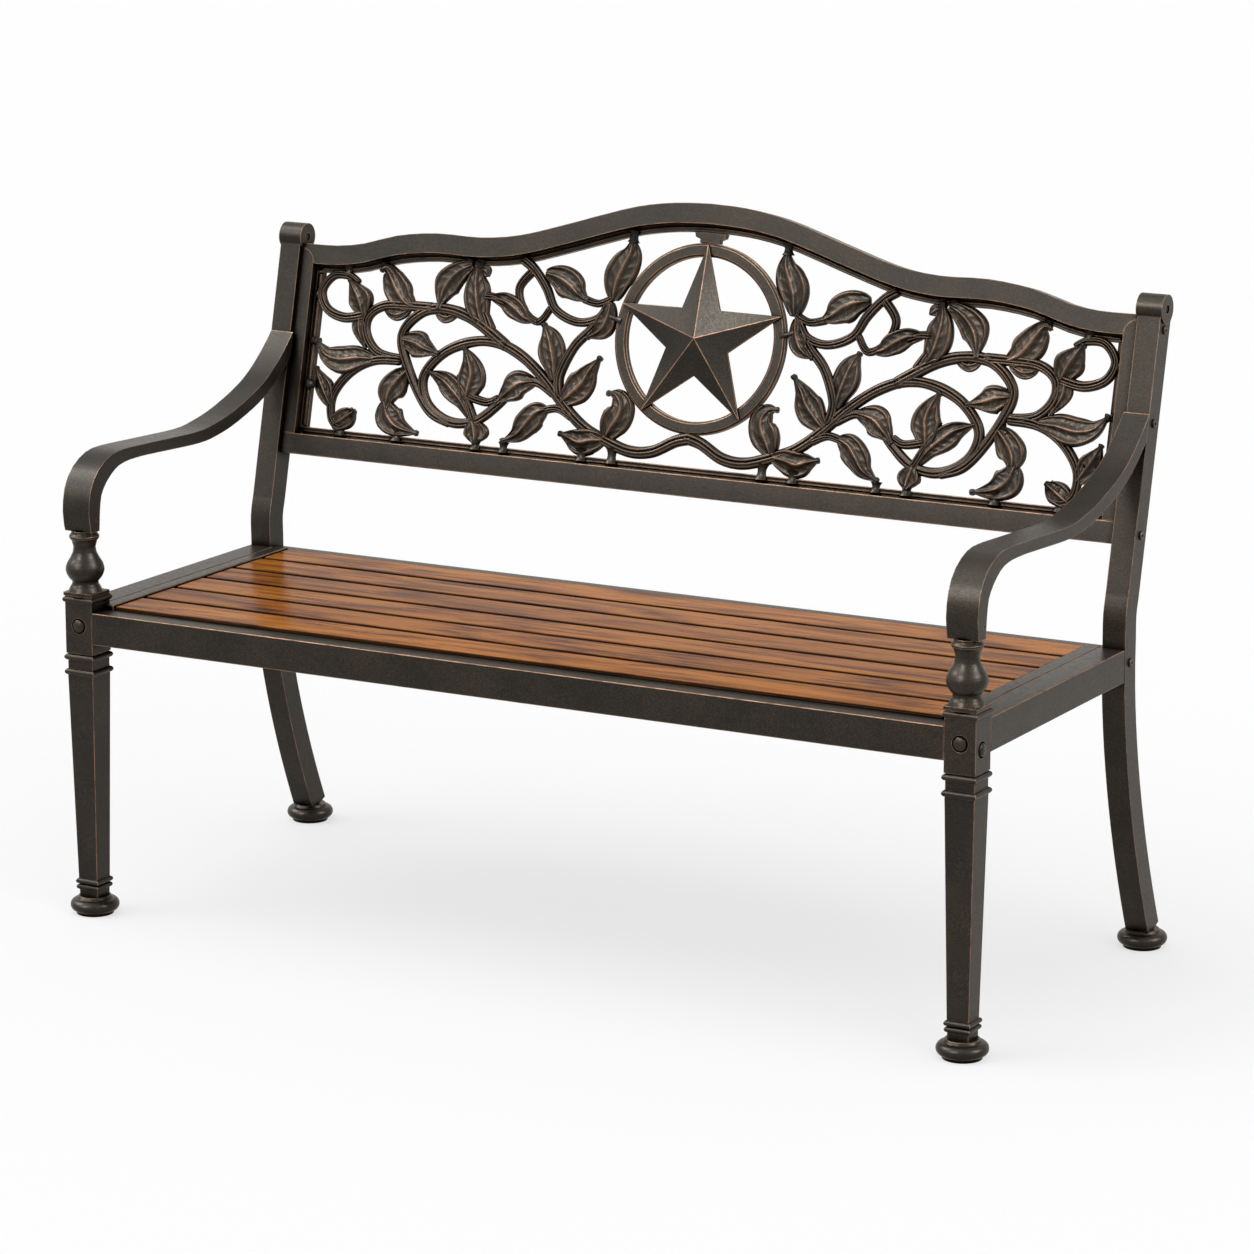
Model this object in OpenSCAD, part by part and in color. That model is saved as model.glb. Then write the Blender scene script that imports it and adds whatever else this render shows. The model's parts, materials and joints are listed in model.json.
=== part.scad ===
// Garden bench in cast aluminium with a slatted wooden seat.
// X runs along the bench, Y from front to back, Z up from the floor.
// The shape is built with Y = 0 on the front leg centrelines, and moved at the end
// so that the origin is on the floor, in the middle of the feet.

/* [Overall] */
// Distance between the centrelines of the left and right legs
leg_span = 1216; // [1000:8:1500]
// Height of the top of the slats above the floor
seat_h = 400; // [380:5:440]
// Height from the slats to the underside of the back panel, along the back's slope
back_gap = 128; // [100:2:150]
// Height of the back panel where it meets the posts
shoulder_h = 278; // [250:2:320]
// Extra height of the back panel at its middle
crest_h = 93; // [60:1:110]
// Lean of the back, in degrees
lean = 13.27; // [8:0.5:18]

/* [Seat] */
// Number of slats
slat_n = 6; // [4:1:8]
// Width of one slat
slat_w = 62.5; // [50:0.5:75]
// Gap between two slats
slat_gap = 5; // [3:0.5:10]
// Thickness of a slat
slat_t = 20; // [18:0.5:24]
// Radius of the slat edges
slat_round = 4; // [2:0.5:6]
// Gap at each end of a slat
slat_end_gap = 3; // [1:0.5:6]
// Height of the seat rails
rail_h = 41; // [36:1:50]
// Wall of the hollow seat rails
rail_wall = 3; // [2:0.25:4]
// Front to back size of the front rail
front_rail_d = 28; // [24:1:34]
// Front to back size of the rear rail
rear_rail_d = 16; // [14:1:22]
// Height of the slats above the front rail
slat_proud = 4; // [1:0.5:6]
// Height of the side rails and ledges above the slats
rim_rise = 2; // [0:0.5:5]
// Width of the flush ledge between the side rail and the slats
ledge_w = 18; // [12:1:26]
// Width of the shelf under the slat ends
shelf_w = 22; // [16:1:30]
// Thickness of that shelf
shelf_t = 4; // [3:0.5:6]
// Width of a bearer under the slats
bearer_w = 30; // [20:1:40]
// Thickness of a bearer
bearer_t = 18; // [12:1:22]
// Distance of each bearer from the middle
bearer_x = 195; // [150:5:300]

/* [Legs] */
// Width of the square front leg block
leg_w = 40; // [36:1:46]
// Height of the leg cap above the slats
leg_rise = 15; // [10:1:25]
// Width of the moulded cap
cap_w = 45; // [44:0.5:52]
// Width of the leg collar rings
collar_w = 44; // [42:0.5:50]
// Width of the tapered shaft at its top
shaft_top_w = 38; // [32:1:40]
// Width of the tapered shaft at the ankle
shaft_foot_w = 28; // [24:1:32]
// Width of the ankle rings
ankle_w = 33; // [31:0.5:38]
// Radius of a foot
foot_r = 31; // [28:1:36]
// Height of a foot
foot_h = 24; // [20:1:30]
// Height of the glide under a foot
glide_h = 4; // [2:0.5:6]

/* [Rear posts] */
// Left to right size of a rear post
post_w = 30; // [28:1:36]
// Front to back size of a rear post
post_d = 32; // [28:1:38]
// Distance that the rear foot stands behind the post at seat height
leg_sweep = 94; // [70:2:120]
// Radius of the rolled finial
roll_r = 18; // [15:0.5:22]
// Distance that the finial stands proud on each side
roll_proud = 2; // [1:0.5:4]
// Height of the finial centre above the back panel's shoulder
roll_rise = 9; // [5:1:16]

/* [Arms] */
// Height of a baluster
baluster_h = 82; // [70:1:95]
// Radius of the baluster's belly
belly_r = 24.3; // [22:0.1:27]
// Thickness of the arm along its level stretch
arm_t = 15; // [13:0.5:18]
// Height of the arm's level stretch above the baluster
arm_rise = 86; // [75:1:100]
// Height that the arm climbs from there to the rear post
arm_climb = 80; // [60:1:95]
// Width of the arm at the rear post
arm_rear_w = 34; // [30:0.5:36]

/* [Back panel] */
// Height of the bottom rail
low_rail_h = 27.5; // [22:0.5:34]
// Height of the top rail's band
top_rail_h = 25.5; // [22:0.5:30]
// Width of a stile
stile_w = 19; // [16:0.5:24]
// Depth of the panel frame, front to back
frame_d = 24; // [20:1:28]
// Distance that the panel sits behind the front of the posts
panel_set = 7; // [3:0.5:8]
// Width of the inner lip
lip_w = 10; // [7:0.5:13]
// Thickness of the inner lip
lip_t = 8; // [6:0.5:9]
// Depth of the lip behind the front of the frame
lip_set = 13; // [10:0.5:14]
// Outer radius of the medallion ring
ring_r = 122; // [110:1:124]
// Width of the ring's band
ring_w = 17.5; // [12:0.5:24]
// Thickness of the ring
ring_t = 10; // [8:0.5:11]
// Radius to the star's points
star_r = 121; // [112:1:124]
// Radius to the star's inner corners
star_in_r = 47; // [42:1:54]
// Height of the star's centre above its rim
star_rise = 11; // [6:0.5:14]
// Thickness of the star at its rim
star_t = 3; // [2:0.5:4]
// Height of the crown bracket between the ring and the top rail
crown_h = 13.5; // [11:0.5:18]
// Width of a vine stem
stem_w = 11.5; // [8:0.5:12]
// Depth of a vine stem
stem_d = 10; // [8:0.5:12]
// Height of the leaves' veins above their edges
leaf_rise = 6; // [4:0.5:8]

/* [Fasteners] */
// Diameter of the bolts
bolt_d = 6; // [5:0.5:8]
// Diameter of the tie rod through the baluster
tie_d = 8; // [6:0.5:9]
// Diameter of the pin across the arm and the tie rod
pin_d = 4; // [3:0.5:4.5]
// Diameter of a bolt head
bolt_head_d = 11; // [10:0.5:13]
// Diameter of the recess round a leg bolt's head
recess_d = 20; // [18:0.5:24]
// Depth of that recess
recess_h = 3.5; // [2:0.5:5]
// Half the height between a leg's two crossing bolts
bolt_stagger = 4; // [4:0.5:6]
// Diameter of the slat screws
screw_d = 4; // [3:0.5:5]
// Length that a bolt reaches into a rail's end block
bolt_grip = 18; // [14:1:22]
// Clearance between pieces that fit together
fit = 0.3; // [0.2:0.05:0.4]

/* [Hidden] */
$fn = 48;
BRONZE = "#2b2623";
RUBBED = "#5a4234";
WOOD = "#b5622a";
STEEL = "#8d8d90";

// Play between the outer slats and the rails
slat_play = 0.5;
// Depth of the front leg block below the side rail, and of its bolts below the seat
block_drop = 20;
bolt_drop = 27;
// Height of the line where the back starts to lean, above the seat
kink_rise = 40;
// Height of the rear rail screw above the leg bolts' level
rear_screw_rise = 10;
// Height of the cross pin above the baluster, and of the tie rod's end
pin_rise = 15;
tie_top = 25;
// Depth of the tie rod in the leg, and of the foot stud in the foot and in the leg
tie_sink = 30;
stud_sink = 15;
stud_h = 18;
// Depth of a slat screw in its slat
screw_in = 12;
// Height of the middle panel screw above the arm's bolt
screw_clear = 20;
// Distance from the ledge's edge to the middle of its screws
ledge_screw_in = 4;

// Plan places, measured from the front leg centreline
side_x = leg_span/2;
outer_x = side_x + leg_w/2;
post_x = outer_x - post_w/2;
post_in_x = outer_x - post_w;
side_rail_w = 35;
side_rail_in = outer_x - side_rail_w;
ledge_out = side_rail_in - fit;
ledge_in = ledge_out - ledge_w;
slat_half = ledge_in - slat_end_gap;
front_y = -leg_w/2;
slats_y = front_y + front_rail_d + slat_play;
slats_d = slat_n*slat_w + (slat_n - 1)*slat_gap;
rear_rail_y = slats_y + slats_d + slat_play;
post_y = rear_rail_y + rear_rail_d/2;
foot_y = post_y + leg_sweep;
mid_y = foot_y/2;

// Heights
front_rail_top = seat_h - slat_proud;
rim_top = seat_h + rim_rise;
rear_rail_top = seat_h - 1;
leg_top = seat_h + leg_rise;
block_bottom = rim_top - rail_h - block_drop;
bolt_z = seat_h - bolt_drop;
kink_z = seat_h + kink_rise;
baluster_y = -3;

// The back leans about a line at kink_z: v climbs the slope and w runs to the back.
// w = 0 is the front face of the posts.
panel_v = back_gap - kink_z + seat_h;
roll_v = panel_v + shoulder_h + roll_rise;
roll_w = post_d - roll_r;
panel_half = post_in_x;
stile_in = panel_half - stile_w;
open_half = stile_in - lip_w;
open_v = low_rail_h + lip_w;
vine_w = lip_set + lip_t/2 - 3;
ring_w0 = vine_w - ring_t/2 + 1;
ring_v = crest_h + shoulder_h - top_rail_h - lip_w - crown_h - ring_r;
screw_w = post_d/2 - panel_set;

// ---- Curves ----

// One point of a Catmull-Rom curve between b and c
function blend(a, b, c, d, t) =
    0.5*(2*b + (c - a)*t + (2*a - 5*b + 4*c - d)*t*t + (3*b - a - 3*c + d)*t*t*t);

// A smooth curve through the points p, with steps of about the given length
function curve(p, step) = [
    for (i = [0:len(p) - 2])
        let (n = max(1, round(norm(p[i + 1] - p[i])/step)))
        for (k = [0:n - 1])
            blend(p[max(i - 1, 0)], p[i], p[i + 1], p[min(i + 2, len(p) - 1)], k/n),
    p[len(p) - 1]];

function unit(v) = v/norm(v);
function reverse(p) = [for (i = [len(p) - 1:-1:0]) p[i]];
function flat(p) = [p[0], p[1]];
// Unit vector to the left of the curve at its point i
function side_dir(p, i) =
    let (d = unit(flat(p[min(i + 1, len(p) - 1)] - p[max(i - 1, 0)])))
    [-d[1], d[0]];

// Closed outline of a band along a curve of [x, y, width] points
function ribbon(p) = concat(
    [for (i = [0:len(p) - 1]) flat(p[i]) + side_dir(p, i)*p[i][2]/2],
    reverse([for (i = [0:len(p) - 1]) flat(p[i]) - side_dir(p, i)*p[i][2]/2]));

// Skin over rings that all have the same number of points
module skin(rings) {
    m = len(rings[0]);
    n = len(rings);
    polyhedron(
        points = [for (r = rings) each r],
        faces = [
            [for (j = [0:m - 1]) j],
            [for (j = [m - 1:-1:0]) (n - 1)*m + j],
            for (i = [0:n - 2]) for (j = [0:m - 1])
                each [[i*m + j, (i + 1)*m + j, (i + 1)*m + (j + 1)%m],
                      [i*m + j, (i + 1)*m + (j + 1)%m, i*m + (j + 1)%m]]]);
}

// ---- Placing ----

module on_floor() translate([0, -mid_y, 0]) children();
module both_sides() for (s = [-1, 1]) scale_x(s) children();
// Mirrors to the left side for s = -1
module scale_x(s) mirror([s < 0 ? 1 : 0, 0, 0]) children();
// Profile drawn in (y, z), extruded along x from x0 to x1
module along_x(x0, x1)
    translate([x0, 0, 0]) rotate([90, 0, 90]) linear_extrude(x1 - x0) children();
// Profile drawn in (x, z), extruded along y from y0 to y1
module along_y(y0, y1)
    translate([0, y1, 0]) rotate([90, 0, 0]) linear_extrude(y1 - y0) children();
// Local frame of the leaning back: x, v up the slope, minus w
module on_back()
    translate([0, post_y - post_d/2, kink_z]) rotate([90 - lean, 0, 0]) children();
module on_panel() on_back() translate([0, panel_v, -panel_set]) children();
// Profile drawn in (x, v), between the depths w0 and w1 behind the panel's front
module panel_slab(w0, w1) translate([0, 0, -w1]) linear_extrude(w1 - w0) children();

// ---- Fasteners ----

// Shank from the origin along +Z, with a chamfered hex-socket head on the -Z side
module screw(d, l, head_d, head_h) {
    cylinder(d = d, h = l);
    difference() {
        rotate_extrude() polygon([[0, -head_h], [head_d/2 - head_h*0.4, -head_h],
            [head_d/2, -head_h*0.5], [head_d/2, 0], [0, 0]]);
        translate([0, 0, -head_h - 1]) cylinder(d = d*0.7, h = head_h/2 + 1, $fn = 6);
    }
}
module hole(d, l) translate([0, 0, -1]) cylinder(d = d + 2*fit, h = l + 1);

// Each of these puts its children where one kind of fastener goes, head side at the
// origin and shank along +Z, for the bench's right side
module at_front_bolt()
    translate([side_x, front_y + recess_h, bolt_z + bolt_stagger]) rotate([-90, 0, 0])
        children();
module at_side_bolt()
    translate([outer_x - recess_h, baluster_y, bolt_z - bolt_stagger])
        rotate([0, -90, 0]) children();
module at_tie_rod()
    translate([side_x, baluster_y, leg_top - tie_sink]) children();
module at_cross_pin()
    translate([side_x, baluster_y, leg_top + baluster_h + pin_rise]) rotate([0, 90, 0])
        children();
module at_rear_rail_screw()
    translate([outer_x, post_y, bolt_z + rear_screw_rise]) rotate([0, -90, 0]) children();
module at_side_rail_screw()
    translate([side_rail_mid, post_y + post_d/2, rim_top - rail_h/2 - 2*bolt_stagger])
        rotate([90, 0, 0]) children();
module at_panel_screws()
    for (v = [low_rail_h/2, arm_bolt_v + screw_clear - panel_v, shoulder_h - top_rail_h*0.62])
        on_panel() translate([outer_x, v, -screw_w]) rotate([0, -90, 0]) children();
module at_arm_bolt()
    on_back() translate([post_x, arm_bolt_v, -post_d]) children();
module at_ledge_screws()
    for (k = [0.12, 0.5, 0.88])
        translate([ledge_in + ledge_screw_in, slats_y + slats_d*k, ledge_screw_z]) rotate([0, 90, 0])
            children();
module at_shelf_screws()
    for (i = [0:slat_n - 1])
        translate([ledge_in - shelf_w/2, slat_mid(i), seat_h - slat_t - shelf_t])
            children();
module at_bearer_screws()
    for (i = [0:slat_n - 1])
        translate([bearer_x, slat_mid(i), seat_h - slat_t - bearer_t]) children();
module at_stud(y) translate([side_x_of(y), y, foot_h - stud_sink]) children();

side_rail_mid = (side_rail_in + outer_x)/2;
ledge_screw_z = seat_h - slat_t/2;
post_bolt_l = post_d + 14;
function slat_mid(i) = slats_y + slat_w/2 + i*(slat_w + slat_gap);
function side_x_of(y) = y > 0 ? post_x : side_x;

// ---- Legs, balusters and feet ----

// Bar with half-round edges, drawn across the leg's axis at height z
module bead(z, w, r) translate([0, z]) {
    square([w - 2*r, 2*r], center = true);
    for (s = [-1, 1]) translate([s*(w/2 - r), 0]) circle(r);
}

module bar(z0, z1, w) translate([-w/2, z0]) square([w, z1 - z0]);

// Side view of a front leg; its two crossed extrusions make the square turning
module leg_profile() {
    shaft_z = foot_h + 20;
    collar_z = block_bottom - 24;
    bar(foot_h, shaft_z, shaft_foot_w - 1);
    bead(foot_h + 12, ankle_w, 3.6);
    bead(foot_h + 19.5, ankle_w + 1, 3.6);
    polygon([[-shaft_foot_w/2, shaft_z], [shaft_foot_w/2, shaft_z],
        [shaft_top_w/2, collar_z], [-shaft_top_w/2, collar_z]]);
    bead(collar_z, collar_w, 4);
    bar(collar_z, block_bottom, shaft_top_w - 1);
    bead(block_bottom - 5, collar_w, 4);
    bar(block_bottom, leg_top, leg_w);
    bead(leg_top - 5, cap_w, 4);
}

module front_leg(s) color(BRONZE) scale_x(s) difference() {
    translate([side_x, 0, 0]) intersection() {
        along_x(-cap_w, cap_w) leg_profile();
        along_y(-cap_w, cap_w) leg_profile();
    }
    at_front_bolt() hole(bolt_d, leg_w);
    at_front_bolt() translate([0, 0, -recess_h - 1]) cylinder(d = recess_d, h = recess_h + 1);
    at_side_bolt() hole(bolt_d, leg_w);
    at_side_bolt() translate([0, 0, -recess_h - 1]) cylinder(d = recess_d, h = recess_h + 1);
    at_tie_rod() cylinder(d = tie_d + 2*fit, h = tie_sink + 1);
    at_stud(0) cylinder(d = bolt_d + 2*fit, h = stud_sink + stud_h + fit);
}

// Turned outline of a baluster: share of the belly's radius, share of the height
BALUSTER = [[0.88, 0.06], [0.8, 0.12], [0.69, 0.17], [0.67, 0.21], [0.88, 0.29],
    [1, 0.39], [0.93, 0.49], [0.75, 0.58], [0.61, 0.67], [0.57, 0.75], [0.62, 0.8],
    [0.65, 0.84], [0.77, 0.89], [0.78, 0.92], [0.68, 0.96], [0.66, 1]];
base_h = 4.6;

module baluster(s) color(BRONZE) scale_x(s) difference() {
    translate([side_x, baluster_y, leg_top]) {
        translate([-belly_r*0.88, -belly_r*0.75, 0])
            cube([belly_r*1.76, belly_r*1.63, base_h]);
        rotate_extrude() polygon(concat([[0, 0], [belly_r*0.85, 0]],
            [for (p = curve(BALUSTER, 0.07)) [p[0]*belly_r, p[1]*baluster_h]],
            [[0, baluster_h]]));
    }
    at_tie_rod() cylinder(d = tie_d + 2*fit, h = tie_sink + baluster_h + 1);
}

module foot(s, y) color(RUBBED) scale_x(s) difference() {
    bun_r = (foot_h - glide_h)*0.4;
    translate([side_x_of(y), y, 0]) rotate_extrude() {
        polygon([[0, 0], [foot_r*0.77, 0], [foot_r*0.77, glide_h], [foot_r - bun_r, glide_h],
            [foot_r - bun_r, glide_h + 2*bun_r], [foot_r*0.66, foot_h], [0, foot_h]]);
        translate([foot_r - bun_r, glide_h + bun_r]) circle(bun_r);
    }
    at_stud(y) translate([0, 0, -fit]) cylinder(d = bolt_d + 2*fit, h = foot_h);
}

// ---- Rear posts ----

// Point of the (y, z) side view at v up the back's slope and w behind its front
function back_yz(v, w) = [post_y - post_d/2 + v*sin(lean) + w*cos(lean),
    kink_z + v*cos(lean) - w*sin(lean)];

leg_curve_top = seat_h - 20;
// Centreline of the post: a curve that sweeps back to the foot, then the leaning back
function post_path() = concat(
    [for (k = [0:0.07:1]) [post_y + leg_sweep*pow(1 - k, 1.7),
        foot_h + (leg_curve_top - foot_h)*k, post_d]],
    curve([for (v = [-60, -30, 0, 30]) [post_y, kink_z + v, post_d]
        + (v < 30 ? [0, 0, 0] : [back_yz(v, post_d/2)[0] - post_y,
            back_yz(v, post_d/2)[1] - kink_z - v, 0])], 10),
    [[back_yz(roll_v, post_d/2)[0], back_yz(roll_v, post_d/2)[1], post_d]]);

module roll(grow) along_x(post_in_x - roll_proud - grow, outer_x + roll_proud + grow)
    translate(back_yz(roll_v, roll_w)) circle(roll_r + grow);

module rear_post(s) color(BRONZE) scale_x(s) difference() {
    union() {
        along_x(post_in_x, outer_x) intersection() {
            polygon(ribbon(post_path()));
            translate([0, foot_h]) square([2*foot_y, 2*seat_h + crest_h]);
        }
        roll(0);
    }
    for (x = [post_in_x - roll_proud - 1, outer_x + roll_proud - 1.5])
        along_x(x, x + 2.5) translate(back_yz(roll_v, roll_w)) circle(roll_r*0.3);
    at_rear_rail_screw() hole(bolt_d, post_w + 2);
    at_side_rail_screw() hole(bolt_d, post_d + 2);
    at_panel_screws() hole(bolt_d, post_w + 2);
    at_arm_bolt() hole(bolt_d, post_d + 2);
    at_stud(foot_y) cylinder(d = bolt_d + 2*fit, h = stud_sink + stud_h + fit);
}

// ---- Arms ----

arm_z0 = leg_top + baluster_h;
arm_end_z = arm_z0 + arm_rise + arm_climb;
arm_y0 = front_y + 0.78*arm_t;
arm_y1 = post_y - post_d/2 + (arm_end_z - kink_z)*tan(lean);
arm_bolt_v = (arm_end_z - kink_z)/cos(lean) - 12;

// Centreline of an arm: share of its reach, share of its rise, share of its climb and
// its thickness as a multiple of the level stretch's
ARM = [[0.005, -0.05, 0, 1.02], [0.002, 0.08, 0, 1.34], [0.001, 0.28, 0, 1.57],
    [0.011, 0.57, 0, 1.65], [0.043, 0.79, 0, 1.65], [0.095, 0.95, 0, 1.4],
    [0.149, 1, 0, 1.13], [0.23, 1, 0, 1], [0.32, 0.98, 0, 1], [0.516, 0.94, 0, 1.05],
    [0.613, 0.98, 0.01, 1.13], [0.704, 1, 0.1, 1.15], [0.816, 1, 0.31, 1.2],
    [0.894, 1, 0.53, 1.2], [0.971, 1, 0.86, 1.2], [1.04, 1, 1.24, 1.2]];

function arm_path() = [for (p = ARM) [arm_y0 + p[0]*(arm_y1 - arm_y0),
    arm_z0 + p[1]*arm_rise + p[2]*arm_climb, p[3]*arm_t]];

module arm(s) color(BRONZE) scale_x(s) difference() {
    intersection() {
        along_x(outer_x - leg_w, outer_x) intersection() {
            polygon(ribbon(curve(arm_path(), 12)));
            polygon([[-2*leg_w, arm_z0], back_yz((arm_z0 - kink_z)/cos(lean), 0),
                back_yz((arm_end_z - kink_z)/cos(lean) + arm_climb, 0),
                [-2*leg_w, arm_end_z + arm_climb]]);
        }
        translate([0, 0, arm_z0 - 1]) linear_extrude(2*arm_rise + arm_climb)
            polygon([[outer_x + 1, front_y - arm_t], [outer_x - leg_w, front_y - arm_t],
                [outer_x - leg_w, 0], [outer_x - arm_rear_w, arm_y1],
                [outer_x - arm_rear_w, arm_y1 + leg_w], [outer_x + 1, arm_y1 + leg_w]]);
    }
    at_tie_rod() cylinder(d = tie_d + 2*fit, h = tie_sink + baluster_h + tie_top + fit);
    at_cross_pin() cylinder(d = pin_d + 2*fit, h = leg_w + 2, center = true);
    at_arm_bolt() hole(bolt_d, post_bolt_l + 1);
}

// ---- Seat ----

// Hollow rail between two corners, open at the ends of its long axis (0 = x, 1 = y)
module tube(a, b, axis) difference() {
    translate(a) cube(b - a);
    inset = axis == 0 ? [-1, rail_wall, rail_wall] : [rail_wall, -1, rail_wall];
    translate(a + inset) cube(b - a - 2*inset);
}
// Block that closes the end of a rail and takes its bolt
module end_block(a, b, axis) {
    gap = rail_wall + fit;
    inset = axis == 0 ? [0, gap, gap] : [gap, 0, gap];
    translate(a + inset) cube(b - a - 2*inset);
}
FRONT_RAIL = [[-side_x + leg_w/2, front_y, front_rail_top - rail_h],
    [side_x - leg_w/2, front_y + front_rail_d, front_rail_top]];
REAR_RAIL = [[-post_in_x, rear_rail_y, rear_rail_top - rail_h],
    [post_in_x, rear_rail_y + rear_rail_d, rear_rail_top]];
SIDE_RAIL = [[side_rail_in, leg_w/2, rim_top - rail_h],
    [outer_x, post_y - post_d/2, rim_top]];
block_l = bolt_grip + 6;

module seat_front_rail() color(BRONZE) tube(FRONT_RAIL[0], FRONT_RAIL[1], 0);
module seat_rear_rail() color(BRONZE) tube(REAR_RAIL[0], REAR_RAIL[1], 0);
module seat_side_rail(s) color(BRONZE) scale_x(s) difference() {
    tube(SIDE_RAIL[0], SIDE_RAIL[1], 1);
    at_ledge_screws() hole(screw_d, ledge_w + rail_wall);
}
module rail_end_blocks() color(STEEL) both_sides() {
    difference() {
        end_block([side_x - leg_w/2 - block_l, FRONT_RAIL[0][1], FRONT_RAIL[0][2]],
            FRONT_RAIL[1], 0);
        at_side_bolt() hole(bolt_d, leg_w + block_l);
    }
    difference() {
        end_block([post_in_x - block_l, REAR_RAIL[0][1], REAR_RAIL[0][2]], REAR_RAIL[1], 0);
        at_rear_rail_screw() hole(bolt_d, post_w + block_l);
    }
    difference() {
        end_block(SIDE_RAIL[0], [outer_x, leg_w/2 + block_l, rim_top], 1);
        at_front_bolt() hole(bolt_d, leg_w + block_l);
    }
    difference() {
        end_block([side_rail_in, SIDE_RAIL[1][1] - block_l, SIDE_RAIL[0][2]],
            SIDE_RAIL[1], 1);
        at_side_rail_screw() hole(bolt_d, post_d + block_l);
    }
}

module slat_ledge(s) color(BRONZE) scale_x(s) difference() {
    along_y(slats_y, rear_rail_y) polygon([
        [ledge_in - shelf_w, seat_h - slat_t - shelf_t], [ledge_out, seat_h - slat_t - shelf_t],
        [ledge_out, rim_top], [ledge_in, rim_top], [ledge_in, seat_h - slat_t],
        [ledge_in - shelf_w, seat_h - slat_t]]);
    translate([side_x - leg_w/2 - fit, slats_y - 1, 0])
        cube([leg_w, leg_w/2 - slats_y + 1 + fit, leg_top]);
    at_ledge_screws() translate([0, 0, -5]) cylinder(d = 2*screw_d + 2*fit, h = 5);
    at_ledge_screws() hole(screw_d, ledge_w + 1);
    at_shelf_screws() hole(screw_d, shelf_t + 1);
}

module slat_profile() {
    r = 1.5;
    translate([0, seat_h - slat_t]) {
        translate([r, 0]) square([slat_w - 2*r, slat_t/2]);
        translate([0, r]) square([slat_w, slat_t - slat_round - r]);
        translate([slat_round, slat_t/2]) square([slat_w - 2*slat_round, slat_t/2]);
        for (x = [r, slat_w - r]) translate([x, r]) circle(r);
        for (x = [slat_round, slat_w - slat_round])
            translate([x, slat_t - slat_round]) circle(slat_round);
    }
}
module slat(i) color(WOOD) difference() {
    translate([0, slat_mid(i) - slat_w/2, 0]) along_x(-slat_half, slat_half) slat_profile();
    both_sides() at_shelf_screws() cylinder(d = screw_d + 2*fit, h = shelf_t + screw_in + fit);
    both_sides() at_bearer_screws()
        cylinder(d = screw_d + 2*fit, h = bearer_t + screw_in + fit);
}

module seat_bearer(s) color(BRONZE) scale_x(s) difference() {
    translate([bearer_x - bearer_w/2, slats_y - slat_play, seat_h - slat_t - bearer_t])
        cube([bearer_w, rear_rail_y - slats_y + slat_play, bearer_t]);
    at_bearer_screws() hole(screw_d, bearer_t + 1);
}

// ---- Back panel frame ----

// Top edge from the middle to a post: share of the half width, share of the crest
CREST = [[0, 1], [0.085, 0.975], [0.17, 0.89], [0.25, 0.745], [0.34, 0.565], [0.45, 0.366],
    [0.55, 0.285], [0.66, 0.293], [0.76, 0.215], [0.84, 0.07], [0.91, 0.004], [1, 0]];
function half_edge(half, shoulder, crest) =
    curve([for (p = CREST) [p[0]*half, shoulder + p[1]*crest]], 20);
function whole_edge(drop) =
    let (e = half_edge(panel_half, shoulder_h - drop, crest_h))
    concat([for (i = [len(e) - 1:-1:1]) [-e[i][0], e[i][1]]], e);
// Band between two distances below the top edge
module crest_band(drop_a, drop_b)
    polygon(concat(whole_edge(drop_a), reverse(whole_edge(drop_b))));

module back_top_rail() color(BRONZE) difference() {
    on_panel() {
        panel_slab(0, frame_d) difference() {
            crest_band(0, top_rail_h);
            for (s = [-1, 1])
                translate([s*panel_half, shoulder_h - top_rail_h]) circle(stile_w + fit);
        }
        panel_slab(lip_set, lip_set + lip_t) intersection() {
            crest_band(top_rail_h - 1, top_rail_h + lip_w);
            translate([-stile_in, 0]) square([2*stile_in, shoulder_h + crest_h]);
        }
    }
    both_sides() roll(fit);
    both_sides() at_panel_screws() hole(bolt_d, panel_screw_l + 1);
}

module back_bottom_rail() color(BRONZE) difference() {
    on_panel() {
        panel_slab(0, frame_d) translate([-panel_half, 0])
            square([2*panel_half, low_rail_h]);
        panel_slab(lip_set, lip_set + lip_t) translate([-stile_in, low_rail_h - 1])
            square([2*stile_in, lip_w + 1]);
    }
    both_sides() at_panel_screws() hole(bolt_d, panel_screw_l + 1);
}
panel_screw_l = post_w + stile_w - 4;

module back_stile(s) color(BRONZE) scale_x(s) difference() {
    on_panel() {
        panel_slab(0, frame_d) {
            translate([stile_in, low_rail_h])
                square([stile_w, shoulder_h - top_rail_h - low_rail_h]);
            intersection() {
                translate([panel_half, shoulder_h - top_rail_h]) circle(stile_w);
                translate([stile_in, shoulder_h - top_rail_h - 1])
                    square([stile_w, stile_w + 1]);
            }
        }
        panel_slab(lip_set, lip_set + lip_t) difference() {
            translate([open_half, open_v]) square([lip_w + 1, shoulder_h - open_v]);
            crest_band(-crest_h, top_rail_h + lip_w);
        }
    }
    at_panel_screws() hole(bolt_d, panel_screw_l + 1);
}

// ---- Medallion ----

module medallion_ring() color(BRONZE) on_panel()
    translate([0, ring_v, -ring_w0 - ring_t]) rotate_extrude($fn = 96) {
        translate([ring_r - ring_w, 1]) square([ring_w, ring_t - 3]);
        polygon([[ring_r - ring_w + 2, 0], [ring_r - 2, 0], [ring_r, 2],
            [ring_r, ring_t - 3], [ring_r - 3, ring_t], [ring_r - ring_w + 3, ring_t],
            [ring_r - ring_w, ring_t - 3], [ring_r - ring_w, 2]]);
    }

// Corner k of the star's outline
function star_point(k) = let (r = k%2 == 0 ? star_r : star_in_r)
    [r*sin(36*k), ring_v + r*cos(36*k)];

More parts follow.
